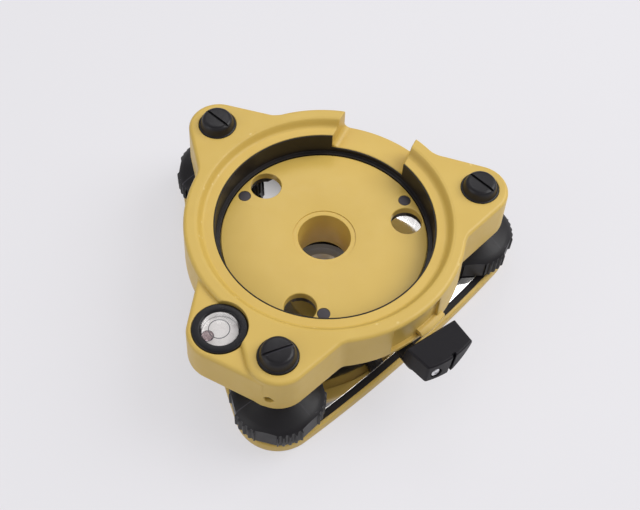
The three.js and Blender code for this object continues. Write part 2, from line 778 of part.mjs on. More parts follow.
function addLockRing() {
  const origin = new THREE.Vector2();
  const inner = tubeRadius + clearance + seatGap;
  const profile = [
    [inner, ringBottom],
    [lockOuter, ringBottom],
    [lockOuter, lockTop],
    [inner, lockTop],
  ];
  let ring = turned(profile, origin, roundSides);
  const low = ringBottom - overrun;
  const high = lockTop + overrun;
  for (const angle of feet.angles) {
    const end = angle - lockRing.sweep;
    ring = cut(
      ring,
      rod(at(angle, studCircle), lockHole, low, high),
      sector(studCircle - lockRing.slot, studCircle + lockRing.slot, end, angle, low, high),
      rod(at(end, studCircle), lockRing.slot, low, high),
    );
  }
  for (const along of rivet.along) {
    ring = cut(ring, rod(at(arm.angle, armInner + along), rivet.radius + clearance, low, high, screwSides));
  }
  addPiece('lock_ring', ring, finishes.steel);
}

function addLockRetainer() {
  const inner = tubeRadius + clearance;
  const top = ringBottom - clearance;
  const bottom = top - retainer.thickness;
  const profile = [[inner, bottom], [retainerRadius, bottom], [retainerRadius, top], [inner, top]];
  addPiece('lock_retaining_ring', turned(profile, new THREE.Vector2(), middleSides), finishes.steel);
}

function addLeverArm() {
  const tabOuter = tabInner + tab.thickness;
  const bendCenter = new THREE.Vector2(tabOuter - arm.bend, armBottom + arm.bend);
  const outerBend = arc(bendCenter, arm.bend, 270, 360, ballStep);
  const outline = [
    new THREE.Vector2(armInner, armBottom),
    ...outerBend,
    new THREE.Vector2(tabOuter, tabTop),
    new THREE.Vector2(tabInner, tabTop),
    new THREE.Vector2(tabInner, armTop),
    new THREE.Vector2(armInner, armTop),
  ];
  let bar = uprightPlate(outline, arm.angle, arm.width);
  for (const along of rivet.along) {
    bar = cut(bar, rod(at(arm.angle, armInner + along), rivet.radius + clearance, 0, bodyTop, screwSides));
  }
  const holeRadius = leverScrew.shank + clearance;
  const holeFrom = tabInner - overrun;
  const hole = radialPin(arm.angle, screwHeight, holeRadius, holeFrom, tabOuter + overrun);
  addPiece('lever_arm', cut(bar, hole), finishes.black);
}

function addLeverRivets() {
  rivet.along.forEach((along, i) => {
    const headTop = armBottom - seatGap;
    const profile = [
      [0, headTop - rivet.headHeight],
      [rivet.tip, headTop - rivet.headHeight],
      [rivet.head, headTop - rivet.headHeight / 2],
      [rivet.head, headTop],
      [rivet.radius, headTop],
      [rivet.radius, lockTop],
      [0, lockTop],
    ];
    const center = at(arm.angle, armInner + along);
    addPiece(`lever_rivet_${i + 1}`, turned(profile, center, screwSides), finishes.steel);
  });
}

// Plan of the grip in its own frame, reach along x and sideways along y, with a bowed front.
function gripOutline() {
  const half = (grip.right - grip.left) / 2;
  const radius = (half * half + grip.bulge * grip.bulge) / (2 * grip.bulge);
  const spread = THREE.MathUtils.radToDeg(Math.asin(half / radius));
  const center = new THREE.Vector2(gripFront + grip.bulge - radius, grip.left + half);
  const front = arc(center, radius, -spread, spread, (2 * spread) / frontSteps);
  return [new THREE.Vector2(gripInner, grip.left), ...front, new THREE.Vector2(gripInner, grip.right)];
}

function addLeverGrip() {
  const layers = [
    [gripBottom, -gripForm.flare],
    [gripTop - gripForm.edge, 0],
    [gripTop, gripForm.edge],
  ];
  const turn = (solid) => solid.rotate([0, 0, arm.angle]);
  const side = [
    new THREE.Vector2(grip.left - overrun, gripBottom),
    new THREE.Vector2(gripForm.cutFrom, gripBottom),
    new THREE.Vector2(gripForm.cutReach, gripTop - gripForm.cutDrop),
    new THREE.Vector2(gripForm.cutReach, gripTop + overrun),
    new THREE.Vector2(grip.left - overrun, gripTop + overrun),
  ];
  const reach = gripFront + overrun;
  const sideForm = radialBar(side, arm.angle, gripInner - overrun, reach);
  const form = turn(loft(gripOutline(), layers)).intersect(sideForm);
  const tabSide = arm.width / 2 + clearance;
  const tabPocket = [
    new THREE.Vector2(-tabSide, gripBottom - overrun),
    new THREE.Vector2(tabSide, gripBottom - overrun),
    new THREE.Vector2(tabSide, tabTop + clearance),
    new THREE.Vector2(-tabSide, tabTop + clearance),
  ];
  const slit = [
    new THREE.Vector2(gripSlit.bottom, gripBottom - overrun / 2),
    new THREE.Vector2(gripSlit.bottom + gripSlit.width, gripBottom - overrun / 2),
    new THREE.Vector2(gripSlit.top + gripSlit.width, gripTop + seatGap),
    new THREE.Vector2(gripSlit.top, gripTop + seatGap),
  ];
  const slitReach = gripFront + grip.bulge - gripSlit.depth;
  const headBack = screwFace - leverScrew.head - clearance;
  const solid = cut(
    form,
    radialBar(tabPocket, arm.angle, tabInner - clearance, tabInner + tab.thickness + clearance),
    radialBar(slit, arm.angle, slitReach, reach),
    radialPin(arm.angle, screwHeight, leverScrew.shank + clearance, tabInner, reach),
    radialPin(arm.angle, screwHeight, screwRecess, headBack, reach, smallSides),
  );
  addPiece('lever_grip', solid, finishes.black);
}

function addLeverScrew() {
    const headBack = screwFace - leverScrew.head;
  const shankEnd = headBack + leverScrew.head / 2;
  const shank = radialPin(arm.angle, screwHeight, leverScrew.shank, tabInner, shankEnd);
  const head = radialPin(arm.angle, screwHeight, leverScrew.radius, headBack, screwFace, smallSides);
  const half = leverScrewSlot.width / 2;
  const slot = radialBar(
    [
      new THREE.Vector2(-half, screwHeight - screwRecess),
      new THREE.Vector2(half, screwHeight - screwRecess),
      new THREE.Vector2(half, screwHeight + screwRecess),
      new THREE.Vector2(-half, screwHeight + screwRecess),
    ],
    arm.angle, screwFace - leverScrewSlot.depth, screwFace + overrun,
  );
  addPiece('lever_screw', cut(shank.add(head), slot), finishes.steel);
}

// Whole object

addBasePlate();
addTripodBush();
addSpringPlate();
addSpringPlateScrews();
addFootScrews();
addFootKnobs();
addBodyCasting();
addRimLiner();
addSeatPlate();
addSeatPads();
addSeatPlateScrews();
addFootBushes();
addFootCaps();
addLobeSetScrews();
addLevel();
addLockRing();
addLockRetainer();
addLeverArm();
addLeverRivets();
addLeverGrip();
addLeverScrew();

// The middle of the outer box stands over the origin.
const outerBox = new THREE.Box3().setFromObject(tribrach);
const middle = outerBox.getCenter(new THREE.Vector3());
tribrach.position.set(-middle.x, -middle.y, -outerBox.min.z);

export default tribrach;
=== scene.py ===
import logging
import math
from dataclasses import dataclass
from enum import Enum
from typing import Callable, Iterable, Optional, Sequence

import bpy
import numpy as np
from mathutils import Matrix, Vector


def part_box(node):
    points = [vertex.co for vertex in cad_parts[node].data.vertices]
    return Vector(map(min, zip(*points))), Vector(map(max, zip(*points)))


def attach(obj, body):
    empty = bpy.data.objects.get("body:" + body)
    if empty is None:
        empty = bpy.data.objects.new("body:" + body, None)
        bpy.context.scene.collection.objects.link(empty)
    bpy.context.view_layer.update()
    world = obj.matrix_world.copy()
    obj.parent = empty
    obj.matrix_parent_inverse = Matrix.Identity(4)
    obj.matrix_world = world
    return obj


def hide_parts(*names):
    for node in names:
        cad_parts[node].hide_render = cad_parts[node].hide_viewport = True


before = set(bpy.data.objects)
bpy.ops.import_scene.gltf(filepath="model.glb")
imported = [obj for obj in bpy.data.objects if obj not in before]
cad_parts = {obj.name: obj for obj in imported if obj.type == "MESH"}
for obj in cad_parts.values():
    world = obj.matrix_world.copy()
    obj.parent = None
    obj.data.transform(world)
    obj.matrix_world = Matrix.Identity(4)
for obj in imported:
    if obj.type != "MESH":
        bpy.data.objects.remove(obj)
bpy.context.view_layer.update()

log = logging.getLogger("tribrach")

MM = 0.001
# Directions of the three lobes and of the three sides between them, in degrees.
FEET = (150.0, 30.0, 270.0)
SIDES = (90.0, 330.0, 210.0)
FOOT_CIRCLE = 61.6
# Columns of a round form, and how far a cutter runs past the face that it opens.
ROUND = 144
FINE_ROUND = 180
OVERRUN = 1.0
# A crease angle that leaves no edge sharp.
SMOOTH = 180.0
# A wave texture of scale one repeats ten times in pi metres.
WAVE_PERIOD = math.pi / 10

Tree = bpy.types.NodeTree
Socket = bpy.types.NodeSocket
Array = np.ndarray
Profile = Sequence[tuple[float, float]]
Form = tuple[Array, list]
Distance = Callable[[Array, Array, Array], Array]


def seat_axis() -> tuple[float, float]:
    """Find where the seat's axis stands in the row frame.

    Returns:
        x and y of the axis in millimetres, from the round tripod bush.
    """
    low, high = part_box("tripod_bush")
    return (low.x + high.x) / 2 / MM, (low.y + high.y) / 2 / MM


AXIS = seat_axis()


class Body(Enum):
    """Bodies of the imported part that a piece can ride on."""

    BASE = "base"
    FOOT_1 = "foot_1"
    FOOT_2 = "foot_2"
    FOOT_3 = "foot_3"
    UPPER = "upper"
    LOCK = "lock"


FOOT_BODIES = (Body.FOOT_1, Body.FOOT_2, Body.FOOT_3)


# Plans and profiles


def at(angle: float, radius: float) -> tuple[float, float]:
    """Place a point on a circle about the seat's axis.

    Args:
        angle: Degrees from +X, anticlockwise.
        radius: Millimetres.

    Returns:
        x and y in millimetres.
    """
    turn = math.radians(angle)
    return radius * math.cos(turn), radius * math.sin(turn)


def arc(centre: tuple[float, float], radius: float, start: float, end: float, count: int) -> list:
    """Draw an arc as points.

    Args:
        centre: Middle of the circle.
        radius: Radius of the circle.
        start: First angle in degrees.
        end: Last angle in degrees.
        count: Number of steps.

    Returns:
        count + 1 points.
    """
    points = []
    for i in range(count + 1):
        x, y = at(start + (end - start) * i / count, radius)
        points.append((centre[0] + x, centre[1] + y))
    return points


def rounded(corners: Profile, radii: Sequence[float], steps: int = 4) -> list:
    """Round the corners of an open or closed run of points.

    Args:
        corners: Corner points of a closed outline.
        radii: One radius for each corner, nought for a sharp one.
        steps: Steps in each rounded corner.

    Returns:
        The outline with its corners drawn as short arcs.
    """
    result = []
    count = len(corners)
    for i, radius in enumerate(radii):
        here = Vector(corners[i])
        if radius <= 0:
            result.append(tuple(here))
            continue
        before = Vector(corners[i - 1]) - here
        after = Vector(corners[(i + 1) % count]) - here
        reach = min(radius, before.length * 0.49, after.length * 0.49)
        first = here + before.normalized() * reach
        last = here + after.normalized() * reach
        for step in range(steps + 1):
            share = step / steps
            a = first.lerp(here, share)
            b = here.lerp(last, share)
            result.append(tuple(a.lerp(b, share)))
    return result


def three_cornered(corner: float, mid_side: float, steps: int = 14) -> Array:
    """Draw the plan of the base: three round corners joined by gently bowed sides.

    Args:
        corner: Radius of each corner about its foot screw.
        mid_side: Distance from the axis to the middle of a side.
        steps: Steps in each corner and in each side.

    Returns:
        Points anticlockwise, in millimetres.
    """
    across = FOOT_CIRCLE * math.cos(math.radians(60))
    along = FOOT_CIRCLE * math.sin(math.radians(60))
    reach = mid_side - corner
    back = (across**2 + along**2 - reach**2) / (2 * (reach - across))
    bow = math.degrees(math.atan2(along, back + across))
    points = []
    for angle in sorted(FEET):
        side = angle + 60
        points += arc(at(angle, FOOT_CIRCLE), corner, angle - 60 + bow, side - bow, steps)
        points += arc(at(side, -back), back + mid_side, side - bow, side + bow, steps)[1:-1]
    return np.array(points)


# Meshes


def revolve(profile: Profile, sides: int = ROUND, reshape: Optional[Callable] = None) -> Form:
    """Turn a profile about the vertical axis.

    Args:
        profile: Radius and height pairs. A run that starts and ends on the axis closes there, and
            any other run is closed by joining its last point to its first.
        sides: Number of columns.
        reshape: Optional function of angle, radius and height that returns a new radius.

    Returns:
        Points and faces.
    """
    rows = np.array(profile, float)
    turn = np.linspace(0, 2 * math.pi, sides, endpoint=False)[None, :]
    radius = np.repeat(rows[:, :1], sides, axis=1)
    height = np.repeat(rows[:, 1:], sides, axis=1)
    if reshape is not None:
        radius = np.where(radius > 0, reshape(turn, radius, height), 0)
    points, index = [], []
    for row in range(len(rows)):
        if rows[row, 0] <= 0:
            points.append((0.0, 0.0, rows[row, 1]))
            index.append([len(points) - 1] * sides)
            continue
        start = len(points)
        points += zip(radius[row] * np.cos(turn[0]), radius[row] * np.sin(turn[0]), height[row])
        index.append(list(range(start, start + sides)))
    closed = rows[0, 0] > 0
    faces = []
    for row in range(len(rows) if closed else len(rows) - 1):
        lower, upper = index[row], index[(row + 1) % len(rows)]
        for i in range(sides):
            k = (i + 1) % sides
            ring = [lower[i], lower[k], upper[k], upper[i]]
            face = list(dict.fromkeys(ring))
            if len(face) > 2:
                faces.append(face)
    return np.array(points, float), faces


def offset_outline(outline: Array, inset: float) -> Array:
    """Move a closed outline inwards along its own normals.

    Args:
        outline: Points anticlockwise.
        inset: Distance, negative to move outwards.

    Returns:
        The moved points.
    """
    before = outline - np.roll(outline, 1, axis=0)
    after = np.roll(outline, -1, axis=0) - outline
    first = np.stack([before[:, 1], -before[:, 0]], 1)
    second = np.stack([after[:, 1], -after[:, 0]], 1)
    first /= np.linalg.norm(first, axis=1, keepdims=True)
    second /= np.linalg.norm(second, axis=1, keepdims=True)
    total = first + second
    scale = 2 / np.maximum((total**2).sum(1, keepdims=True), 1)
    return outline - total * scale * inset


def stack(outline: Array, layers: Sequence[tuple[float, float]]) -> Form:
    """Stack one outline at several heights and close both ends.

    Args:
        outline: Points anticlockwise.
        layers: Height and inset of each layer, from the bottom up.

    Returns:
        Points and faces.
    """
    outline = np.asarray(outline, float)
    count = len(outline)
    rows = []
    for height, inset in layers:
        moved = offset_outline(outline, inset)
        rows.append(np.column_stack([moved, np.full(count, height)]))
    faces = [list(range(count))[::-1]]
    for row in range(len(layers) - 1):
        for i in range(count):
            a, b = row * count + i, row * count + (i + 1) % count
            faces.append([a, b, b + count, a + count])
    top = (len(layers) - 1) * count
    faces.append([top + i for i in range(count)])
    return np.concatenate(rows), faces


def edge_layers(bottom: float, top: float, low: float, high: float, steps: int = 4) -> list:
    """Heights and insets of a slab whose lower and upper edges are rounded.

    Args:
        bottom: Height of the underside.
        top: Height of the upper face.
        low: Radius of the lower edge.
        high: Radius of the upper edge.
        steps: Steps in each edge.

    Returns:
        Layers for stack().
    """
    layers = []
    for i in range(steps + 1):
        turn = math.radians(90 * i / steps)
        layers.append((bottom + low * (1 - math.cos(turn)), low * (1 - math.sin(turn))))
    for i in range(steps + 1):
        turn = math.radians(90 * i / steps)
        layers.append((top - high * (1 - math.sin(turn)), high * (1 - math.cos(turn))))
    return layers


def moved(form: Form, place: Sequence[float] = (0, 0, 0), turn: float = 0.0) -> Form:
    """Turn a form about the vertical axis and then move it.

    Args:
        form: Points and faces.
        place: Shift in millimetres.
        turn: Degrees about +Z.

    Returns:
        The moved form.
    """
    points, faces = form
    matrix = np.array(Matrix.Rotation(math.radians(turn), 3, "Z"))
    return points @ matrix.T + np.array(place, float), faces


def laid(form: Form) -> Form:
    """Lay a form that stands on +Z down along +X, so that its height becomes its reach."""
    points, faces = form
    return np.column_stack([points[:, 2], points[:, 1], -points[:, 0]]), faces


def upright(form: Form) -> Form:
    """Stand a form drawn on the ground up, so that its own y becomes height and its height y."""
    points, faces = form
    return np.column_stack([points[:, 0], -points[:, 2], points[:, 1]]), faces


def mesh_of(name: str, form: Form) -> bpy.types.Mesh:
    """Make a Blender mesh of a form in millimetres.

    Args:
        name: Name of the mesh.
        form: Points and faces.

    Returns:
        The mesh, in metres.
    """
    points, faces = form
    mesh = bpy.data.meshes.new(name)
    mesh.from_pydata((np.asarray(points) * MM).tolist(), [], faces)
    mesh.validate()
    return mesh


def carve(piece: bpy.types.Object, cutters: Iterable[Form], join: bool = False) -> None:
    """Cut forms out of a piece, or join them on, with exact solids.

    Args:
        piece: The object to change.
        cutters: Forms in the piece's own millimetres.
        join: True to add the forms rather than to take them away.
    """
    for form in cutters:
        tool = bpy.data.objects.new("cutter", mesh_of("cutter", form))
        tool.matrix_world = piece.matrix_world
        bpy.context.scene.collection.objects.link(tool)
        modifier = piece.modifiers.new("cut", "BOOLEAN")
        modifier.operation = "UNION" if join else "DIFFERENCE"
        modifier.solver = "EXACT"
        modifier.object = tool
        bpy.context.view_layer.update()
        graph = bpy.context.evaluated_depsgraph_get()
        result = bpy.data.meshes.new_from_object(piece.evaluated_get(graph))
        piece.modifiers.remove(modifier)
        piece.data = result
        bpy.data.objects.remove(tool)


def shade(mesh: bpy.types.Mesh, crease: float) -> None:
    """Smooth a mesh, keeping edges sharper than an angle.

    Args:
        mesh: The mesh.
        crease: Angle in degrees above which an edge stays sharp.
    """
    mesh.polygons.foreach_set("use_smooth", [True] * len(mesh.polygons))
    mesh.set_sharp_from_angle(angle=math.radians(crease))


# Signed distances, for the cast and moulded pieces whose edges flow into each other


def soft_max(a: Array, b: Array, radius: float) -> Array:
    """Intersect two solids, with the edge between them rounded."""
    both = np.hypot(np.maximum(radius + a, 0), np.maximum(radius + b, 0))
    return np.minimum(-radius, np.maximum(a, b)) + both


def soft_min(a: Array, b: Array, radius: float) -> Array:
    """Join two solids, with a fillet in the corner between them."""
    return -soft_max(-a, -b, radius)


def polygon_distance(px: Array, py: Array, outline: Profile) -> Array:
    """Signed distance to a closed outline, negative inside.

    Args:
        px: First coordinates.
        py: Second coordinates, which broadcast against the first.
        outline: Corners of the outline.

    Returns:
        Distances.
    """
    px, py = np.broadcast_arrays(px, py)
    best = np.full(px.shape, np.inf)
    inside = np.zeros(px.shape, bool)
    for i, (x0, y0) in enumerate(outline):
        x1, y1 = outline[(i + 1) % len(outline)]
        dx, dy = x1 - x0, y1 - y0
        length = dx * dx + dy * dy
        if length <= 0:
            continue
        share = np.clip(((px - x0) * dx + (py - y0) * dy) / length, 0, 1)
        best = np.minimum(best, (px - x0 - share * dx) ** 2 + (py - y0 - share * dy) ** 2)
        crosses = (y0 > py) != (y1 > py)
        with np.errstate(divide="ignore", invalid="ignore"):
            edge = x0 + (py - y0) * dx / (dy if dy else np.inf)
        inside ^= crosses & (px < edge)
    return np.where(inside, -1, 1) * np.sqrt(best)


def net(distance: Distance, columns: Array, rows: Array, levels: Array, polar: bool) -> Form:
    """Mesh the zero surface of a signed distance with one point in each crossed cell.

    Args:
        distance: Signed distance of x, y and z.
        columns: Stations along x, or angles in radians over one full turn where polar.
        rows: Stations along y, or radii where polar.
        levels: Stations along z.
        polar: True for a grid of angle, radius and height.

    Returns:
        Points on the surface and faces that look outwards.
    """

    def place(a: Array, b: Array) -> tuple[Array, Array]:
        """Turn grid stations into x and y.

        Args:
            a: Stations along the first axis of the grid.
            b: Stations along the second.

        Returns:
            First and second coordinates.
        """
        if polar:
            return b * np.cos(a), b * np.sin(a)
        return a, b

    x, y = place(columns[:, None, None], rows[None, :, None])
    value = distance(x, y, levels[None, None, :])
    if polar:
        value = np.concatenate([value, value[:1]], axis=0)
        columns = np.append(columns, columns[0] + 2 * math.pi)
    shape = tuple(n - 1 for n in value.shape)
    total = np.zeros(shape + (3,))
    count = np.zeros(shape)
    corners = [(i, j, k) for i in (0, 1) for j in (0, 1) for k in (0, 1)]
    for first in corners:
        for axis in range(3):
            if first[axis]:
                continue
            second = tuple(1 if n == axis else first[n] for n in range(3))
            a = value[tuple(slice(f, f + n) for f, n in zip(first, shape))]
            b = value[tuple(slice(s, s + n) for s, n in zip(second, shape))]
            hit = (a < 0) != (b < 0)
            share = np.where(hit, a / np.where(hit, a - b, 1), 0)
            for n in range(3):
                total[..., n] += np.where(hit, first[n] + (share if n == axis else 0), 0)
            count += hit
    used = count > 0
    cell = np.argwhere(used)
    middle = cell + total[used] / count[used][:, None]
    a, b, z = (
        np.interp(middle[:, n], np.arange(len(line)), line)
        for n, line in enumerate((columns, rows, levels))
    )
    x, y = place(a, b)
    points = np.column_stack([x, y, z])
    index = np.full(shape, -1)
    index[used] = np.arange(len(cell))
    inside = value < 0
    faces = []
    for axis in range(3):
        low = [slice(None)] * 3
        high = [slice(None)] * 3
        low[axis], high[axis] = slice(0, -1), slice(1, None)
        change = inside[tuple(low)] != inside[tuple(high)]
        starts_inside = inside[tuple(low)]
        p, q = (axis + 1) % 3, (axis + 2) % 3
        edges = np.argwhere(change)
        if polar and axis != 0:
            edges = edges[edges[:, 0] < shape[0]]
        for n in (p, q):
            if not (polar and n == 0):
                edges = edges[(edges[:, n] > 0) & (edges[:, n] < shape[n])]
        quad = []
        for dp, dq in ((0, 0), (1, 0), (1, 1), (0, 1)):
            spot = edges.copy()
            spot[:, p] -= dp
            spot[:, q] -= dq
            spot[:, 0] %= shape[0]
            quad.append(index[tuple(spot.T)])
        quad = np.column_stack(quad)
        flip = starts_inside[tuple(edges.T)] if polar else ~starts_inside[tuple(edges.T)]
        quad[flip] = quad[flip][:, ::-1]
        faces.append(quad)
    return points, np.concatenate(faces).tolist()


def settle(distance: Distance, points: Array, passes: int = 4) -> tuple[Array, Array]:
    """Move points onto the zero surface and find the surface's own normals.

    Args:
        distance: Signed distance of x, y and z.
        points: Points near the surface.
        passes: Number of Newton steps.

    Returns:
        The moved points and their unit normals.
    """
    step, flattest, reach = 0.02, 0.2, 0.3

    def slope(spots: Array) -> Array:
        """Gradient of the distance by central differences.

        Args:
            spots: Points.

        Returns:
            One direction for each point, not of length one.
        """
        parts = []
        for axis in range(3):
            shift = np.zeros(3)
            shift[axis] = step
            ahead, behind = (spots + shift).T, (spots - shift).T
            parts.append((distance(*ahead) - distance(*behind)) / (2 * step))
        return np.column_stack(parts)

    for _ in range(passes):
        gradient = slope(points)
        size = np.maximum((gradient**2).sum(1), flattest)
        move = distance(*points.T)[:, None] * gradient / size[:, None]
        points = points - np.clip(move, -reach, reach)
    gradient = slope(points)
    return points, gradient / np.maximum(np.linalg.norm(gradient, axis=1, keepdims=True), 1e-9)


# Finishes


def linear(colour: str) -> tuple[float, float, float, float]:
    """Turn an sRGB hex colour into linear values.

    Args:
        colour: Such as "#DDBB63".

    Returns:
        Red, green, blue and alpha.
    """
    parts = [int(colour[i : i + 2], 16) / 255 for i in (1, 3, 5)]
    parts = [c / 12.92 if c <= 0.04045 else ((c + 0.055) / 1.055) ** 2.4 for c in parts]
    return parts[0], parts[1], parts[2], 1.0


def add_node(
    tree: Tree,
    kind: str,
    values: Optional[dict] = None,
    links: Optional[dict] = None,
    **settings: object,
) -> bpy.types.Node:
    """Add one shader node with its settings, socket values and links.

    Args:
        tree: The material's node tree.
        kind: Node type without the words ShaderNode.
        values: Socket values by socket name or number.
        links: Output sockets to join to this node's inputs, by name or number.
        settings: Properties of the node itself.

    Returns:
        The new node.
    """
    node = tree.nodes.new("ShaderNode" + kind)
    for name, value in settings.items():
        setattr(node, name, value)
    for socket, value in (values or {}).items():
        node.inputs[socket].default_value = value
    for socket, source in (links or {}).items():
        tree.links.new(source, node.inputs[socket])
    return node


def per_metre(size_mm: float) -> float:
    """Texture scale for a pattern that repeats every so many millimetres."""
    return 1 / (size_mm * MM)


@dataclass(frozen=True)
class Finish:
    """A material with the few values that all finishes share."""

    name: str
    colour: str
    roughness: float
    slot: str

    def material(self) -> bpy.types.Material:
        """Return the Blender material, made once.

        Returns:
            The material.
        """
        found = bpy.data.materials.get(self.name)
        if found is not None:
            return found
        made = bpy.data.materials.new(self.name)
        made.use_nodes = True
        tree = made.node_tree
        tree.nodes.clear()
        output = add_node(tree, "OutputMaterial")
        tree.links.new(self.surface(tree), output.inputs["Surface"])
        return made

    def surface(self, tree: Tree) -> Socket:
        """Build the shader and return its output.

        Args:
            tree: The empty node tree.

        Returns:
            The socket that goes to the material's surface.
        """
        raise NotImplementedError


def speckle(
    tree: Tree, size_mm: float, detail: float = 2.0, stretch: tuple = (1, 1, 1)
) -> Socket:
    """Add a noise of a real size on the piece's own coordinates.

    Args:
        tree: The node tree.
        size_mm: Distance between lumps.
        detail: Number of finer layers.
        stretch: Scale along each axis.

    Returns:
        The noise value, about a half on average.
    """
    place = add_node(tree, "TexCoord")
    scaled = add_node(tree, "Mapping", {"Scale": stretch}, {"Vector": place.outputs["Object"]})
    noise = add_node(
        tree, "TexNoise", {"Scale": per_metre(size_mm), "Detail": detail, "Roughness": 0.5},
        {"Vector": scaled.outputs["Vector"]},
    )
    return noise.outputs["Fac"]


def spread(tree: Tree, source: Socket, low: float, high: float) -> Socket:
    """Map the middle of a noise onto a range of values.

    Args:
        tree: The node tree.
        source: A value from nought to one.
        low: Result at 0.3.
        high: Result at 0.7.

    Returns:
        The mapped value.
    """
    node = add_node(
        tree, "MapRange", {"From Min": 0.3, "From Max": 0.7, "To Min": low, "To Max": high},
        {"Value": source},
    )
    return node.outputs["Result"]


def blend_colours(tree: Tree, share: Socket, first: object, second: object) -> Socket:
    """Mix two colours, each a hex colour or a socket.

    Args:
        tree: The node tree.
        share: Share of the second colour.
        first: Colour where the share is nought.
        second: Colour where the share is one.

    Returns:
        The mixed colour.
    """
    mix = add_node(tree, "Mix", None, {0: share}, data_type="RGBA")
    for socket, colour in ((6, first), (7, second)):
        if isinstance(colour, str):
            mix.inputs[socket].default_value = linear(colour)
        else:
            tree.links.new(colour, mix.inputs[socket])
    return mix.outputs[2]


def relief(tree: Tree, height: Socket, depth_mm: float, below: Optional[Socket] = None) -> Socket:
    """Turn a height into a bumped normal.

    Args:
        tree: The node tree.
        height: Height from nought to one.
        depth_mm: Real depth that a height of one stands for.
        below: Normal of a coarser relief underneath.

    Returns:
        The normal.
    """
    links = {"Height": height}
    if below is not None:
        links["Normal"] = below
    node = add_node(tree, "Bump", {"Strength": 1.0, "Distance": depth_mm * MM}, links)
    return node.outputs["Normal"]


def worn_edges(tree: Tree, start: float, end: float) -> Socket:
    """Find outer edges, where hands rub the surface.

    Args:
        tree: The node tree.
        start: Pointiness at which wear begins.
        end: Pointiness of full wear.

    Returns:
        Wear from nought to one.
    """
    shape = add_node(tree, "NewGeometry")
    node = add_node(
        tree, "MapRange", {"From Min": start, "From Max": end},
        {"Value": shape.outputs["Pointiness"]},
    )
    return node.outputs["Result"]


def principled(tree: Tree, values: dict, tone: object, rough: Socket, normal: Socket) -> Socket:
    """Add the main shader of a finish.

    Args:
        tree: The node tree.
        values: Its plain inputs.
        tone: Colour, as hex or as a socket.
        rough: Roughness.
        normal: Relief.

    Returns:
        The shader's output.
    """
    links = {"Roughness": rough, "Normal": normal}
    if isinstance(tone, str):
        values = {"Base Color": linear(tone), **values}
    else:
        links["Base Color"] = tone
    return add_node(tree, "BsdfPrincipled", values, links).outputs["BSDF"]


@dataclass(frozen=True)
class StovedEnamel(Finish):
    """Satin enamel sprayed on pressure-cast aluminium and baked.

    The paint levels into a faint orange peel and thins to a lighter tone over outer edges.
    """

    light: str = "#E4C87C"
    shade: str = "#D2AF52"
    peel_mm: float = 1.1
    peel_depth: float = 0.006
    cloud_mm: float = 16.0
    cloud_share: float = 0.5
    gloss_change: float = 0.04
    wear: tuple = (0.53, 0.62)
    worn: bool = True

    def surface(self, tree: Tree) -> Socket:
        """Build the enamel: clouded colour, lighter edges, satin gloss and orange peel.

        Args:
            tree: Node tree of the material.

        Returns:
            Output of the finished shader.
        """
        cloud = spread(tree, speckle(tree, self.cloud_mm, 3), 0, self.cloud_share)
        body = blend_colours(tree, cloud, self.colour, self.shade)
        if self.worn:
            body = blend_colours(tree, worn_edges(tree, *self.wear), body, self.light)
        peel = speckle(tree, self.peel_mm, 1)
        change = self.gloss_change
        gloss = spread(tree, speckle(tree, self.peel_mm * 4, 2), -change, change)
        rough = add_node(tree, "Math", {1: self.roughness}, {0: gloss}, operation="ADD")
        values = {"IOR": 1.5, "Specular IOR Level": 0.5}
        normal = relief(tree, peel, self.peel_depth)
        return principled(tree, values, body, rough.outputs[0], normal)


@dataclass(frozen=True)
class MouldedNylon(Finish):
    """Black glass-filled nylon, injection moulded in a finely eroded tool.

    The eroded grain breaks up the gloss, and handled edges are polished a little greyer.
    """

    rubbed: str = "#3A383E"
    grain_mm: float = 0.35
    shine: float = 0.3
    grain_depth: float = 0.012
    smear_mm: float = 5.0
    smear: float = 0.05
    wear: tuple = (0.54, 0.7)

    def surface(self, tree: Tree) -> Socket:
        """Build the nylon: near-black, greyer on edges, with a fine eroded grain.

        Args:
            tree: Node tree of the material.

        Returns:
            Output of the finished shader.
        """
        tone = blend_colours(tree, worn_edges(tree, *self.wear), self.colour, self.rubbed)
        grain = speckle(tree, self.grain_mm, 3)
        smears = speckle(tree, self.smear_mm, 3)
        rough = spread(tree, smears, self.roughness - self.smear, self.roughness + self.smear)
        values = {"IOR": 1.53, "Specular IOR Level": self.shine}
        return principled(tree, values, tone, rough, relief(tree, grain, self.grain_depth))


@dataclass(frozen=True)
class TurnedMetal(Finish):
    """Metal turned on a lathe, with rings round the piece's own axis.

    The tool leaves fine concentric rings. They are drawn coarser than the real feed of 0.1 mm, so
    that they show.
    """

    feed_mm: float = 0.45
    depth_mm: float = 0.004
    metallic: float = 1.0
    waver: float = 0.4
    handled_mm: float = 3.0

    def surface(self, tree: Tree) -> Socket:
        """Build the metal: rings in the relief, and a cloudy gloss from handling.

        Args:
            tree: Node tree of the material.

        Returns:
            Output of the finished shader.
        """
        place = add_node(tree, "TexCoord")
        rings = add_node(
            tree,
            "TexWave",
            {
                "Scale": per_metre(self.feed_mm) * WAVE_PERIOD, "Distortion": self.waver,
                "Detail": 1.0,
            },
            {"Vector": place.outputs["Object"]},
            wave_type="RINGS",
            rings_direction="Z",
        )
        rough = spread(
            tree, speckle(tree, self.handled_mm, 3), self.roughness - 0.04, self.roughness + 0.06
        )
        normal = relief(tree, rings.outputs["Fac"], self.depth_mm)
        return principled(tree, {"Metallic": self.metallic}, self.colour, rough, normal)


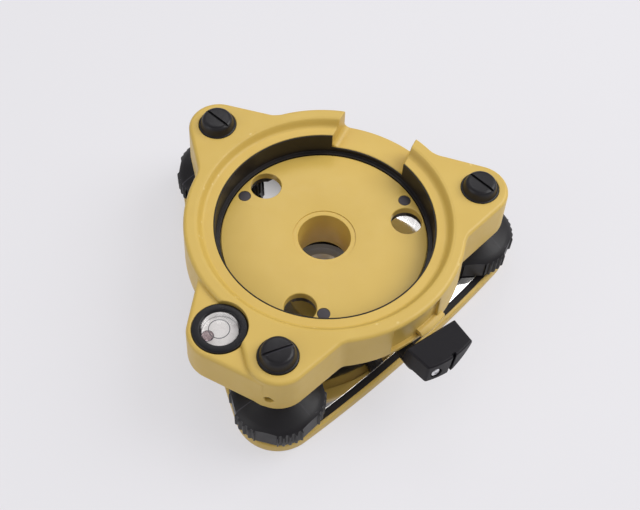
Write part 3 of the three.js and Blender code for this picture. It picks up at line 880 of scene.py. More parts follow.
@dataclass(frozen=True)
class RolledSheet(Finish):
    """Stainless spring sheet, cold rolled and polished bright.

    Rolling leaves a slow waviness that bends what it mirrors, and faint lines one way.
    """

    wave_mm: float = 26.0
    wave_depth: float = 0.1
    line_mm: float = 0.5
    line_depth: float = 0.001

    def surface(self, tree: Tree) -> Socket:
        """Build the sheet: mirror bright, slow waves and faint rolling lines.

        Args:
            tree: Node tree of the material.

        Returns:
            Output of the finished shader.
        """
        waves = speckle(tree, self.wave_mm, 1)
        lines = speckle(tree, self.line_mm, 2, (1, 0.04, 1))
        slow = relief(tree, waves, self.wave_depth)
        rough = spread(tree, lines, self.roughness * 0.7, self.roughness * 1.5)
        normal = relief(tree, lines, self.line_depth, slow)
        return principled(tree, {"Metallic": 1.0}, self.colour, rough, normal)


@dataclass(frozen=True)
class Blacking(Finish):
    """Steel that was turned and then chemically blackened and oiled.

    The oil leaves a satin brown-black, with the tool's rings just showing.
    """

    ring_mm: float = 0.6
    ring_depth: float = 0.006
    stain_mm: float = 4.0
    oil_mm: float = 2.0
    stain: str = "#2A2523"

    def surface(self, tree: Tree) -> Socket:
        """Build the blacking: brown-black, a little metallic, faintly ringed in height.

        Args:
            tree: Node tree of the material.

        Returns:
            Output of the finished shader.
        """
        tone = blend_colours(tree, speckle(tree, self.stain_mm, 3), self.colour, self.stain)
        rings = speckle(tree, self.ring_mm, 1, (0.02, 0.02, 1))
        oil = speckle(tree, self.oil_mm, 2)
        rough = spread(tree, oil, self.roughness - 0.05, self.roughness + 0.06)
        values = {"Metallic": 0.35, "Specular IOR Level": 0.5}
        return principled(tree, values, tone, rough, relief(tree, rings, self.ring_depth))


@dataclass(frozen=True)
class GlossPlastic(Finish):
    """Moulded plastic with a polished skin, faintly uneven where it shrank."""

    mottle: str = "#E6E6E3"
    mottle_mm: float = 2.5
    smear_mm: float = 1.5
    sink_mm: float = 6.0
    sink_depth: float = 0.01

    def surface(self, tree: Tree) -> Socket:
        """Build the plastic: one colour with a faint mottle and slow sink marks.

        Args:
            tree: Node tree of the material.

        Returns:
            Output of the finished shader.
        """
        tone = blend_colours(tree, speckle(tree, self.mottle_mm, 2), self.colour, self.mottle)
        smears = speckle(tree, self.smear_mm, 2)
        sinks = speckle(tree, self.sink_mm, 1)
        rough = spread(tree, smears, self.roughness, self.roughness * 1.3)
        normal = relief(tree, sinks, self.sink_depth)
        return principled(tree, {"IOR": 1.49}, tone, rough, normal)


@dataclass(frozen=True)
class ClearGlass(Finish):
    """Ground and polished glass, clear, with its gloss from the shader's own Fresnel."""

    smear_mm: float = 3.0

    def surface(self, tree: Tree) -> Socket:
        """Build the glass: light goes straight through, with a faint smear in the gloss.

        Args:
            tree: Node tree of the material.

        Returns:
            Output of the finished shader.
        """
        smears = speckle(tree, self.smear_mm, 2)
        smear = spread(tree, smears, self.roughness, self.roughness * 3)
        gloss = add_node(tree, "BsdfGlossy", {"Color": (1, 1, 1, 1)}, {"Roughness": smear})
        through = add_node(tree, "BsdfTransparent", {"Color": linear(self.colour)})
        edge = add_node(tree, "Fresnel", {"IOR": 1.45})
        mix = add_node(
            tree, "MixShader", None,
            {0: edge.outputs["Fac"], 1: through.outputs["BSDF"], 2: gloss.outputs["BSDF"]},
        )
        return mix.outputs["Shader"]


ENAMEL = StovedEnamel("stoved_enamel_yellow", "#D9B85C", 0.42, "yellow_paint")
PLATE_ENAMEL = StovedEnamel("stoved_enamel_plate", "#D9B85C", 0.42, "yellow_paint", worn=False)
SEAT_ENAMEL = StovedEnamel(
    "stoved_enamel_seat", "#D9B85C", 0.38, "yellow_paint", peel_mm=0.9, worn=False
)
NYLON = MouldedNylon("moulded_nylon_black", "#131114", 0.42, "black_plastic")
CAP_NYLON = MouldedNylon("moulded_nylon_cap", "#1C1A1D", 0.36, "black_plastic")
GRIP_NYLON = MouldedNylon("moulded_nylon_grip", "#151318", 0.4, "black_plastic", shine=0.2)
CASE_NYLON = MouldedNylon("polished_nylon_black", "#17161A", 0.3, "black_plastic", "#2A282E")
ARM_BLACK = MouldedNylon("black_stoved_arm", "#161416", 0.35, "black_plastic", grain_mm=0.8)
# Painted shade: near-black finish for the sheet on the base's upper face, standing in for the
# shade under the ring's overhang.
SHADE_BLACK = MouldedNylon("painted_shade_black", "#191614", 0.5, "black_plastic", grain_mm=0.8)
STEEL = TurnedMetal("turned_steel", "#C6C6C8", 0.24, "turned_steel")
SCREW_STEEL = TurnedMetal("bright_screw_steel", "#DADADC", 0.18, "turned_steel")
GREY_STEEL = TurnedMetal("oiled_grey_steel", "#77736F", 0.4, "grey_steel")
PAD_STEEL = TurnedMetal("ground_pad_steel", "#4A464A", 0.45, "grey_steel", metallic=0.6)
SPRING = RolledSheet("rolled_spring_sheet", "#E2E0DC", 0.07, "spring_steel")
BRASS = TurnedMetal("turned_brass", "#C2A050", 0.28, "turned_brass")
BAND = Blacking("blacked_steel", "#1D1A1A", 0.42, "blackened_metal")
BLACK_STEEL = Blacking("blacked_set_screw", "#1B1917", 0.35, "blackened_metal")
DISC = GlossPlastic("white_level_disc", "#EDE9E6", 0.25, "white_plastic", mottle="#E6E2DF")
PRINT = GlossPlastic("printed_ring_ink", "#4A4A4E", 0.4, "white_plastic", mottle="#5A5A5E")
GLASS = ClearGlass("clear_level_glass", "#FFFFFF", 0.03, "clear_glass")
BUBBLE = ClearGlass("air_in_spirit", "#DCD2D4", 0.05, "clear_glass")
# Painted shade: the meniscus round the bubble is real, but its dark colour stands in for the
# darkening that refraction makes there.
MENISCUS_SHADE = GlossPlastic("bubble_rim_painted_shade", "#5A5256", 0.3, "clear_glass", mottle="#6A6266")


# Pieces


@dataclass
class SubAssembly:
    """Pieces that are built together, with the sizes they share."""

    def add(
        self,
        name: str,
        form: Form,
        finish: Finish,
        body: Body,
        stands_for: Sequence[str],
        place: Sequence[float] = (0.0, 0.0),
        turn: float = 0.0,
        crease: float = 32.0,
        cuts: Iterable[Form] = (),
        joins: Iterable[Form] = (),
    ) -> bpy.types.Object:
        """Make one piece, cut it, smooth it and set it on its body.

        Args:
            name: Name of the piece.
            form: Points and faces in millimetres about the piece's own centre.
            finish: Its material.
            body: Body that it rides on.
            stands_for: CAD nodes that it replaces.
            place: x and y of its centre from the seat's axis.
            turn: Degrees about +Z.
            crease: Edges sharper than this stay sharp.
            cuts: Forms to cut away.
            joins: Forms to join on first.

        Returns:
            The finished object.
        """
        piece = bpy.data.objects.new(name, mesh_of(name, form))
        bpy.context.scene.collection.objects.link(piece)
        spot = Vector(((AXIS[0] + place[0]) * MM, (AXIS[1] + place[1]) * MM, 0))
        piece.matrix_world = Matrix.Translation(spot) @ Matrix.Rotation(
            math.radians(turn), 4, "Z"
        )
        carve(piece, joins, join=True)
        carve(piece, cuts)
        shade(piece.data, crease)
        return self.dress(piece, finish, body, stands_for)

    def dress(
        self, piece: bpy.types.Object, finish: Finish, body: Body, stands_for: Sequence[str]
    ) -> bpy.types.Object:
        """Give a piece its material, its body and the nodes it stands for.

        Args:
            piece: The object.
            finish: Its material.
            body: Body that it rides on.
            stands_for: CAD nodes that it replaces.

        Returns:
            The same object.
        """
        piece.data.materials.clear()
        piece.data.materials.append(finish.material())
        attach(piece, body.value)
        if stands_for:
            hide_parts(*stands_for)
        log.info("%s: %d faces on %s", piece.name, len(piece.data.polygons), body.value)
        return piece

    def keep(self, finish: Finish, *nodes: str) -> None:
        """Give CAD nodes that stay as they are a finish.

        Args:
            finish: The material.
            nodes: Names of the nodes.
        """
        for name in nodes:
            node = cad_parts[name]
            node.data.materials.clear()
            node.data.materials.append(finish.material())
            shade(node.data, 40)
            log.info("%s: kept from the packed part", name)


def block_plan(low: float, high: float, half: float) -> Array:
    """Outline of a straight block along the first axis, from low to high, with its half width."""
    return np.array([(low, -half), (high, -half), (high, half), (low, half)])


def ring_of(form: Form, angles: Iterable[float], circle: float) -> list:
    """Copies of a form at several angles on one circle."""
    return [moved(form, (*at(angle, circle), 0)) for angle in angles]


def well(radius: float, floor: float, top: float, sides: int = 48) -> Form:
    """Cutter for a straight well, from its floor to above its mouth. Six sides make a socket."""
    return revolve([(0, floor), (radius, floor), (radius, top), (0, top)], sides)


def flared_bore(radius: float, bottom: float, top: float, flare: float, sides: int = 72) -> Form:
    """Cutter for a through hole whose upper edge is broken.

    Args:
        radius: Radius of the hole.
        bottom: Lowest point, below the part.
        top: Height of the face it opens in.
        flare: Width of the broken edge.
        sides: Number of columns.

    Returns:
        The cutter.
    """
    return revolve(
        [
            (0, bottom), (radius, bottom), (radius, top - flare), (radius + flare, top),
            (radius + flare * 2, top + flare), (0, top + flare),
        ],
        sides,
    )


@dataclass
class BasePlate(SubAssembly):
    """The enamelled triangular foot that stands on the tripod head."""

    thickness: float = 5.5
    corner: float = 16.5
    mid_side: float = 49.7
    edge: float = 1.2
    boss_radius: float = 5.0
    boss_height: float = 1.1
    boss_circle: float = 36.0
    boss_root: float = 2.0
    boss_edge: float = 0.5
    fillet: float = 0.9
    fillet_root: float = 2.1
    screw_bore: float = 1.6
    screw_bore_bottom: float = 2.4
    bore_flare: float = 0.25
    hole: float = 11.5
    hole_lead: float = 0.4
    socket: float = 3.7
    socket_height: float = 5.2
    socket_lead: float = 0.5
    # Rise, inset and play of the black sheet of painted shade on the upper face.
    face_shade_rise: float = 0.06
    face_shade_root: float = 0.2
    face_shade_inset: float = 0.1
    face_shade_play: tuple = (1.2, 1.0, 0.8)

    def build(self) -> None:
        """Build the plate with its bosses, its centre hole and its ball sockets."""
        bosses = []
        for angle in SIDES:
            bosses += [moved(form, (*at(angle, self.boss_circle), 0)) for form in self.boss()]
        top = self.thickness + self.boss_height
        bore = flared_bore(self.screw_bore, self.screw_bore_bottom, top, self.bore_flare, 24)
        bowl = arc((0, self.socket_height), self.socket, -90, 0, 8)
        bowl[0] = (0, bowl[0][1])
        rim = self.thickness + 0.2
        bowl += [(self.socket + self.socket_lead, rim), (0, rim)]
        holes = ring_of(bore, SIDES, self.boss_circle)
        holes += ring_of(revolve(bowl, 48), FEET, FOOT_CIRCLE) + [self.centre_hole()]
        outline = three_cornered(self.corner, self.mid_side, 22)
        layers = edge_layers(0, self.thickness, self.edge, self.edge, 5)
        self.add(
            "enamelled_base", stack(outline, layers), PLATE_ENAMEL, Body.BASE, ["base_plate"],
            cuts=holes, joins=bosses,
        )
        # A black sheet of painted shade on the upper face, where the ring above shades it.
        self.build_face_shade(outline)

    def boss(self) -> list:
        """Make one boss for the sheet's screws.

        Returns:
            The boss's fillet and the boss.
        """
        radius, top = self.boss_radius, self.thickness + self.boss_height
        body = [(0, self.boss_root), (radius, self.boss_root), (radius, top), (0, top)]
        skirt = radius + self.fillet
        foot = [(0, self.fillet_root), (skirt, self.fillet_root), (skirt, self.thickness - 0.1)]
        foot += arc((skirt, self.thickness + self.fillet), self.fillet, 270, 180, 5)
        foot.append((0, top - 0.2))
        return [revolve(foot, 48), revolve(rounded(body, [0, 0, self.boss_edge, 0]), 48)]

    def centre_hole(self) -> Form:
        """Make the cutter of the centre hole.

        Returns:
            The cutter, wider at the lower face.
        """
        top = self.thickness + OVERRUN
        mouth = self.hole + self.hole_lead
        profile = [(0, -OVERRUN), (mouth + OVERRUN, -OVERRUN), (mouth, 0)]
        profile += [(self.hole, self.hole_lead), (self.hole, top), (0, top)]
        return revolve(profile)

    def build_face_shade(self, outline: Array) -> None:
        """Lay a black sheet of painted shade on the flat upper face, inside the rounded yellow
        edge, where the ring above shuts off the light.

        Args:
            outline: Outline of the plate from above.
        """
        low, high = self.thickness - OVERRUN, self.thickness + OVERRUN
        root = (self.thickness - self.face_shade_root, self.edge + self.face_shade_inset)
        face = (self.thickness + self.face_shade_rise, self.edge + self.face_shade_inset * 2)
        boss, socket, hole = self.face_shade_play
        cuts = [well(self.hole + hole, low, high, ROUND)]
        cuts += ring_of(well(self.boss_radius + boss, low, high), SIDES, self.boss_circle)
        cuts += ring_of(well(self.socket + socket, low, high), FEET, FOOT_CIRCLE)
        form = stack(outline, [root, face])
        self.add("base_face_painted_shade", form, SHADE_BLACK, Body.BASE, [], cuts=cuts)


@dataclass
class TripodBush(SubAssembly):
    """The collared steel bush that takes the tripod's 5/8 inch screw of 11 turns to the inch."""

    radius: float = 11.2
    minor: float = 6.9
    depth: float = 1.0
    pitch: float = 25.4 / 11
    bottom: float = 0.5
    top: float = 8.0
    collar_radius: float = 13.8
    collar_bottom: float = 5.6
    collar_top: float = 6.8
    lead: tuple = (0.9, 1.2)
    flank: float = 4.4
    crest: float = 1.5
    fade: float = 0.8
    fade_from: tuple = (0.3, 1.1)

    def thread(self, turn: Array, radius: Array, height: Array) -> Array:
        """Push the bore outwards along a helix, fading out at both mouths.

        Args:
            turn: Angles in radians.
            radius: Radii.
            height: Heights.

        Returns:
            The changed radii.
        """
        phase = (height / self.pitch - turn / (2 * math.pi)) % 1
        tooth = np.clip(self.crest - np.abs(phase - 0.5) * self.flank, 0, 1)
        low, high = self.bottom + self.fade_from[0], self.top - self.fade_from[1]
        fade = np.clip((height - low) / self.fade, 0, 1)
        fade = fade * np.clip((high - height) / self.fade, 0, 1)
        return np.where(radius < self.minor + 0.01, radius + self.depth * tooth * fade, radius)

    def build(self) -> None:
        """Build the bush with its collar and cut thread."""
        outside = rounded(
            [
                (self.minor + self.lead[0], self.bottom), (self.radius, self.bottom),
                (self.radius, self.collar_bottom), (self.collar_radius, self.collar_bottom),
                (self.collar_radius, self.collar_top), (self.radius, self.collar_top),
                (self.radius, self.top), (self.minor + self.lead[1], self.top),
            ],
            [0, 0.3, 0, 0.25, 0.25, 0.15, 0.45, 0],
            3,
        )
        stations = np.arange(self.top - self.lead[1], self.bottom + 0.5, -self.pitch / 12)
        bore = [(self.minor, float(z)) for z in stations]
        self.add(
            "threaded_tripod_bush", revolve(outside + bore, 96, self.thread), STEEL, Body.BASE,
            ["tripod_bush"],
        )


@dataclass
class SpringPlate(SubAssembly):
    """The bright spring sheet that holds the three ball ends down, with its screws."""

    corner: float = 13.0
    mid_side: float = 46.2
    bottom: float = 6.9
    top: float = 7.7
    edge: float = 0.15
    eye: float = 16.0
    ball_eye: float = 3.25
    hole: float = 1.6
    flare: float = 0.2
    cut_from: float = 5.0
    screw_circle: float = 36.0
    head: float = 2.9
    head_height: float = 1.7
    shank: float = 1.3
    depth: float = 5.1
    socket: float = 1.4
    socket_depth: float = 0.9
    gap: float = 0.1

    def build(self) -> None:
        """Build the sheet with its eyes, and the three socket screws."""
        low, top = self.cut_from, self.top
        cuts = [flared_bore(self.eye, low, top, self.flare)]
        ball_eye = flared_bore(self.ball_eye, low, top, self.flare, 40)
        hole = flared_bore(self.hole, low, top, self.flare / 2, 24)
        cuts += ring_of(ball_eye, FEET, FOOT_CIRCLE) + ring_of(hole, SIDES, self.screw_circle)
        outline = three_cornered(self.corner, self.mid_side, 22)
        layers = edge_layers(self.bottom, self.top, self.edge, self.edge, 2)
        self.add(
            "bright_spring_sheet", stack(outline, layers), SPRING, Body.BASE, ["spring_plate"],
            cuts=cuts,
        )
        seat = self.top + self.gap
        head_top = seat + self.head_height
        tip = self.top - self.depth
        profile = rounded(
            [
                (0, tip), (self.shank, tip), (self.shank, seat), (self.head, seat),
                (self.head, head_top), (0, head_top),
            ],
            [0, 0.3, 0, 0.15, 0.4, 0],
        )
        for i, angle in enumerate(SIDES):
            self.add(
                f"sheet_socket_screw_{i + 1}", revolve(profile, 48), STEEL, Body.BASE,
                [f"spring_plate_screw_{i + 1}"], place=at(angle, self.screw_circle),
                cuts=[well(self.socket, head_top - self.socket_depth, head_top + OVERRUN, 6)],
            )


@dataclass
class FootScrews(SubAssembly):
    """The three ball-ended foot screws with their moulded knobs."""

    ball: float = 3.4
    ball_height: float = 5.2
    neck: float = 2.6
    shank: float = 4.0
    top: float = 40.3
    pitch: float = 0.75
    thread_depth: float = 0.4
    thread_from: float = 22.8
    thread_to: float = 39.2
    knob_bottom: float = 8.4
    knob_radius: float = 18.2
    rim_height: float = 7.4
    knob_height: float = 14.2
    shoulders: tuple = ((0.945, 0.61), (0.86, 0.69), (0.48, 0.93), (0.44, 1.0))
    hollow: tuple = (8.5, 9.4)
    hollow_depth: float = 0.6
    bore: float = 4.3
    lead: float = 0.8
    gap: float = 0.1
    skin: float = 0.05
    groups: int = 6
    ribs: int = 4
    rib_pitch: float = 8.0
    rib_depth: float = 0.8
    rib_slope: float = 2.4
    rib_valley: float = 0.9
    phases: tuple = (10.0, 50.6, 32.0)

    def thread(self, turn: Array, radius: Array, height: Array) -> Array:
        """Cut a fine helix into the shank between the knob and the bush.

        Args:
            turn: Angles in radians.
            radius: Radii.
            height: Heights.

        Returns:
            The changed radii.
        """
        phase = (height / self.pitch - turn / (2 * math.pi)) % 1
        tooth = 1 - np.abs(phase * 2 - 1)
        inside = (height > self.thread_from) & (height < self.thread_to)
        cut = inside & (radius > self.shank - self.skin)
        return np.where(cut, radius - self.thread_depth * tooth, radius)

    def rim(self, phase: float) -> Callable:
        """Make the function that cuts flats and ribs into a knob's rim.

        Args:
            phase: Turn of the first group of ribs in degrees.

        Returns:
            A function of angle, radius and height for revolve().
        """
        period = 360 / self.groups
        ribbed = self.ribs * self.rib_pitch
        low = self.knob_radius - self.rib_depth
        flat = low * math.cos(math.radians((period - ribbed) / 2))

        def shape(turn: Array, radius: Array, height: Array) -> Array:
            """Limit the radius to the rim's outline at each angle.

            Args:
                turn: Angles in radians.
                radius: Radii.
                height: Heights, not used.

            Returns:
                The changed radii.
            """
            local = (np.degrees(turn) - phase) % period
            gap = (period - ribbed) / 2
            facing = np.radians(np.minimum(local, period - local))
            chord = flat / np.cos(facing)
            along = ((local - gap) / self.rib_pitch) % 1
            crest = np.clip(np.abs(along - 0.5) * 2, 0, 1)
            ridge = low + self.rib_depth * np.clip(crest * self.rib_slope - self.rib_valley, 0, 1)
            outline = np.where((local < gap) | (local > period - gap), chord, ridge)
            return np.minimum(radius, outline)

        return shape

    def build(self) -> None:
        """Build the three screws and the three knobs."""
        turn = math.degrees(math.acos(self.neck / self.ball))
        ball = arc((0, self.ball_height), self.ball, -90, turn, 12)
        ball[0] = (0, ball[0][1])
        seat = self.knob_bottom - self.gap
        shank = ball + [(self.neck, seat), (self.shank, seat)]
        shank += [(self.shank, self.thread_from - 0.3)]
        for z in np.arange(self.thread_from, self.thread_to, self.pitch / 5):
            shank.append((self.shank, float(z)))
        shank.append((self.shank, self.top - self.lead))
        shank += [(self.shank - self.lead, self.top), (0, self.top)]
        b, h, r = self.knob_bottom, self.knob_height, self.knob_radius
        corners = [
            (self.bore, b + self.hollow_depth), (self.hollow[0], b + self.hollow_depth),
            (self.hollow[1], b), (r, b), (r, b + self.rim_height),
            *((r * out, b + h * up) for out, up in self.shoulders), (self.bore, b + h),
        ]
        knob = rounded(corners, [0, 0, 0.3, 0.9, 0.5, 0.9, 1.6, 0.6, 0.5, 0.3], 4)
        for i, angle in enumerate(FEET):
            place = at(angle, FOOT_CIRCLE)
            self.add(
                f"ball_ended_screw_{i + 1}", revolve(shank, 40, self.thread), STEEL,
                FOOT_BODIES[i], [f"foot_screw_{i + 1}"], place=place,
            )
            self.add(
                f"ribbed_knob_{i + 1}",
                revolve(self.fine_rim(knob), 540, self.rim(self.phases[i])), NYLON,
                FOOT_BODIES[i], [f"foot_knob_{i + 1}"], place=place, crease=24,
            )

    def fine_rim(self, profile: Profile) -> list:
        """Split the long upright of the rim, so that ribs and flats end in clean edges.

        Args:
            profile: Radius and height pairs of the knob.

        Returns:
            The profile with the added points.
        """
        result = []
        outer = self.knob_radius * 0.8
        for i, (radius, height) in enumerate(profile):
            result.append((radius, height))
            wide, high = profile[(i + 1) % len(profile)]
            if min(radius, wide) > outer:
                for step in (0.25, 0.5, 0.75):
                    spot = (radius + (wide - radius) * step, height + (high - height) * step)
                    result.append(spot)
        return result


@dataclass
class CastBody(SubAssembly):
    """The enamelled casting: ring, three lobes, the level's platform, notch, recess and ledge."""

    bottom: float = 27.1
    top: float = 45.7
    ring: float = 53.6
    draft: float = 0.5
    edge: float = 1.6
    lobe_circle: float = 61.0
    lobe_radius: float = 11.7
    flare: float = 31.0
    lip_top: float = 42.6
    lip_bore: float = 42.4
    lip_edge: float = 0.2
    lip_inner: float = 45.7
    lip_outer: float = 49.1
    cove_bow: float = 0.13
    shoulder: float = 47.3
    shoulder_top: float = 31.5
    platform_top: float = 43.5
    platform_radius: float = 12.05
    side_normal: float = 187.6
    side_run: float = 23.6
    inside_angle: float = 250.0
    level: tuple = (-23.25, -56.0)
    notch_angle: float = 80.0
    notch_width: float = 31.1
    notch_run: tuple = (30.0, 80.0)
    notch_floor: float = 35.1
    notch_corner: float = 2.8
    recess: tuple = (312.8, 337.0)
    recess_roof: float = 43.5
    recess_depth: float = 1.3
    recess_floor: float = 28.9
    ledge: tuple = (326.2, 340.0)
    ledge_top: float = 31.7
    ledge_thickness: float = 2.5
    ledge_reach: float = 55.8
    ledge_slope: float = 0.55
    ledge_rise: float = 0.9
    cap_bore: float = 7.48
    cap_depth: float = 1.6
    bush_bore: float = 7.3
    grub_radius: float = 1.65
    grub_height: float = 33.2
    pocket_radius: float = 10.25
    pocket_bottom: float = 35.6
    lobe_root: float = 1.2
    lobe_reach: float = 25.0
    platform_root: float = 0.7
    bottom_edge: float = 0.7
    bore_edge: float = 0.3
    notch_edge: float = 0.45
    ledge_root: float = 0.4
    seat_edge: float = 0.25
    pin_edge: float = 0.2
    columns: int = 720
    inner_rings: tuple = (41.2, 41.8, 42.2)
    radius_runs: tuple = ((42.5, 54.6, 0.35), (54.6, 62.5, 0.6), (62.5, 75.5, 0.5))
    height_runs: tuple = ((26.2, 28.6, 0.4), (28.6, 41.2, 0.6), (41.2, 46.6, 0.32))

    def plan(self, x: Array, y: Array) -> Array:
        """Signed distance to the plan of the ring and its lobes.

        Args:
            x: First coordinates.
            y: Second coordinates.

        Returns:
            Distances, negative inside.
        """
        distance = np.hypot(x, y) - self.ring
        turn = math.radians(self.flare)
        for angle in FEET:
            c, s = math.cos(math.radians(angle)), math.sin(math.radians(angle))
            out = x * c + y * s - self.lobe_circle
            side = np.abs(y * c - x * s)
            flank = out * math.sin(turn) + side * math.cos(turn)
            inward = side * math.sin(turn) - out * math.cos(turn)
            lobe = np.where(inward > 0, flank, np.hypot(out, side)) - self.lobe_radius
            lobe = np.maximum(lobe, -out - self.lobe_reach)
            distance = soft_min(distance, lobe, self.lobe_root)
        return distance

    def platform_plan(self) -> list:
        """Outline of the level's lower platform, tangent to the front lobe.

        Returns:
            Points of the outline in order.
        """
        front = at(FEET[2], self.lobe_circle)
        lean = math.degrees(math.atan2(front[1] - self.level[1], front[0] - self.level[0])) + 270
        points = arc(self.level, self.platform_radius, self.side_normal, lean, 24)
        run = at(self.side_normal - 90, self.side_run)
        upper = (points[0][0] + run[0], points[0][1] + run[1])
        foot = at(lean, self.lobe_radius)
        foot = (front[0] + foot[0], front[1] + foot[1])
        return [upper, *points, foot, front, at(self.inside_angle, self.lip_inner + 1.5)]

    def hollow(self) -> list:
        """Profile of everything inside the ring: shoulder, bore, lip and the cast cove.

        Returns:
            Radius and height pairs.
        """
        rise = self.top - self.lip_top
        width = self.lip_outer - self.lip_inner
        cove = []
        for i in range(11):
            share = i / 10
            bow = share - math.sin(2 * math.pi * share) * self.cove_bow
            cove.append((self.lip_inner + width * share, self.lip_top + rise * bow))
        return [
            (-5, self.bottom - 5), (self.shoulder, self.bottom - 5),
            (self.shoulder, self.shoulder_top), (self.lip_bore, self.shoulder_top),
            (self.lip_bore, self.lip_top - self.lip_edge),
            (self.lip_bore + self.lip_edge, self.lip_top), *cove,
            (self.lip_outer + 1, self.top + 0.9), (self.lip_outer + 1, self.top + 5),
            (-5, self.top + 5),
        ]

    def sector(
        self, x: Array, y: Array, z: Array, angles: tuple, radii: tuple, heights: tuple
    ) -> Array:
        """Signed distance to a block bounded by two angles, two radii and two heights.

        Args:
            x: First coordinates.
            y: Second coordinates.
            z: Heights.
            angles: First and last angle in degrees.
            radii: Inner and outer radius.
            heights: Lowest and highest point.

        Returns:
            Distances.
        """
        middle = math.radians((angles[0] + angles[1]) / 2)
        half = math.radians((angles[1] - angles[0]) / 2)
        out = x * math.cos(middle) + y * math.sin(middle)
        side = np.abs(y * math.cos(middle) - x * math.sin(middle))
        wedge = side * math.cos(half) - out * math.sin(half)
        radius = np.hypot(x, y)
        ring = np.maximum(radii[0] - radius, radius - radii[1])
        return np.maximum(np.maximum(wedge, ring), np.maximum(heights[0] - z, z - heights[1]))

    def distance(self, x: Array, y: Array, z: Array) -> Array:
        """Signed distance to the whole casting.

        Args:
            x: First coordinates.
            y: Second coordinates.
            z: Heights.

        Returns:
            Distances, negative inside.
        """
        lean = self.draft * (self.top - z) / (self.top - self.bottom)
        main = soft_max(self.plan(x, y) - lean, z - self.top, self.edge)
        low = polygon_distance(x, y, self.platform_plan()) - lean
        low = soft_max(low, z - self.platform_top, self.edge)
        solid = soft_min(main, low, self.platform_root)
        solid = soft_max(solid, self.bottom - z, self.bottom_edge)
        inside = polygon_distance(np.hypot(x, y), z, self.hollow())
        solid = soft_max(solid, -inside, self.bore_edge)
        solid = soft_max(solid, -self.notch(x, y, z), self.notch_edge)
        solid = self.lever_side(solid, x, y, z)
        for angle in FEET:
            solid = self.lobe_openings(solid, x, y, z, angle)
        away = np.hypot(x - self.level[0], y - self.level[1])
        pocket = np.maximum(away - self.pocket_radius, self.pocket_bottom - z)
        return soft_max(solid, -pocket, self.bore_edge)

    def notch(self, x: Array, y: Array, z: Array) -> Array:
        """Signed distance to the notch through the rim, round in its lower corners.

        Args:
            x: First coordinates.
            y: Second coordinates.
            z: Heights.

        Returns:
            Distances.
        """
        c = math.cos(math.radians(self.notch_angle))
        s = math.sin(math.radians(self.notch_angle))
        corner = self.notch_corner
        side = np.abs(y * c - x * s) - (self.notch_width / 2 - corner)
        deep = self.notch_floor + corner - z
        notch = np.hypot(np.maximum(side, 0), np.maximum(deep, 0))
        notch = notch + np.minimum(np.maximum(side, deep), 0) - corner
        return np.maximum(notch, self.notch_run[0] - (x * c + y * s))

    def lever_side(self, solid: Array, x: Array, y: Array, z: Array) -> Array:
        """Sink the recess behind the lever and add the sloping ledge under it.

        Args:
            solid: Distances so far.
            x: First coordinates.
            y: Second coordinates.
            z: Heights.

        Returns:
            Distances with the recess and the ledge.
        """
        inner = self.ring - self.recess_depth
        heights = (self.recess_floor, self.recess_roof)
        recess = self.sector(x, y, z, self.recess, (inner, 90), heights)
        solid = soft_max(solid, -recess, self.bore_edge)
        heights = (self.ledge_top - self.ledge_thickness, self.ledge_top)
        shelf = self.sector(x, y, z, self.ledge, (inner - 2, self.ledge_reach), heights)
        fall = (np.hypot(x, y) - inner) * self.ledge_slope + z - self.ledge_top
        shelf = soft_max(shelf, fall - self.ledge_rise, self.bore_edge)
        return soft_min(solid, shelf, self.ledge_root)

    def lobe_openings(self, solid: Array, x: Array, y: Array, z: Array, angle: float) -> Array:
        """Open a lobe for its cap, its bush and its set screw.

        Args:
            solid: Distances so far.
            x: First coordinates.
            y: Second coordinates.
            z: Heights.
            angle: Direction of the lobe in degrees.

        Returns:
            Distances with the lobe's openings.
        """
        px, py = at(angle, FOOT_CIRCLE)
        away = np.hypot(x - px, y - py)
        seat = np.maximum(away - self.cap_bore, self.top - self.cap_depth - z)
        solid = soft_max(solid, -seat, self.seat_edge)
        solid = soft_max(solid, self.bush_bore - away, self.seat_edge)
        c, s = math.cos(math.radians(angle)), math.sin(math.radians(angle))
        pin = np.hypot(y * c - x * s, z - self.grub_height) - self.grub_radius
        pin = np.maximum(pin, FOOT_CIRCLE - (x * c + y * s))
        return soft_max(solid, -pin, self.pin_edge)

    def build(self) -> None:
        """Mesh the casting on a grid of angle, radius and height, finest round its edges."""
        turns = np.linspace(0, 2 * math.pi, self.columns, endpoint=False)
        radii = np.concatenate([self.inner_rings, *(np.arange(*run) for run in self.radius_runs)])
        radii = np.unique(np.round(radii, 3))
        levels = np.concatenate([np.arange(*run) for run in self.height_runs])
        points, faces = net(self.distance, turns, radii, levels, True)
        points, normals = settle(self.distance, points)
        piece = self.add(
            "enamelled_casting", (points, faces), ENAMEL, Body.UPPER, ["body_casting"],
            crease=SMOOTH,
        )
        if len(piece.data.vertices) == len(normals):
            piece.data.normals_split_custom_set_from_vertices(normals.tolist())

    def notch_block(self, low: float) -> Form:
        """Cutter of the notch's width for the pieces inside the ring, from a height up."""
        block = block_plan(*self.notch_run, self.notch_width / 2)
        return moved(stack(block, [(low, 0), (self.top + 4, 0)]), turn=self.notch_angle)


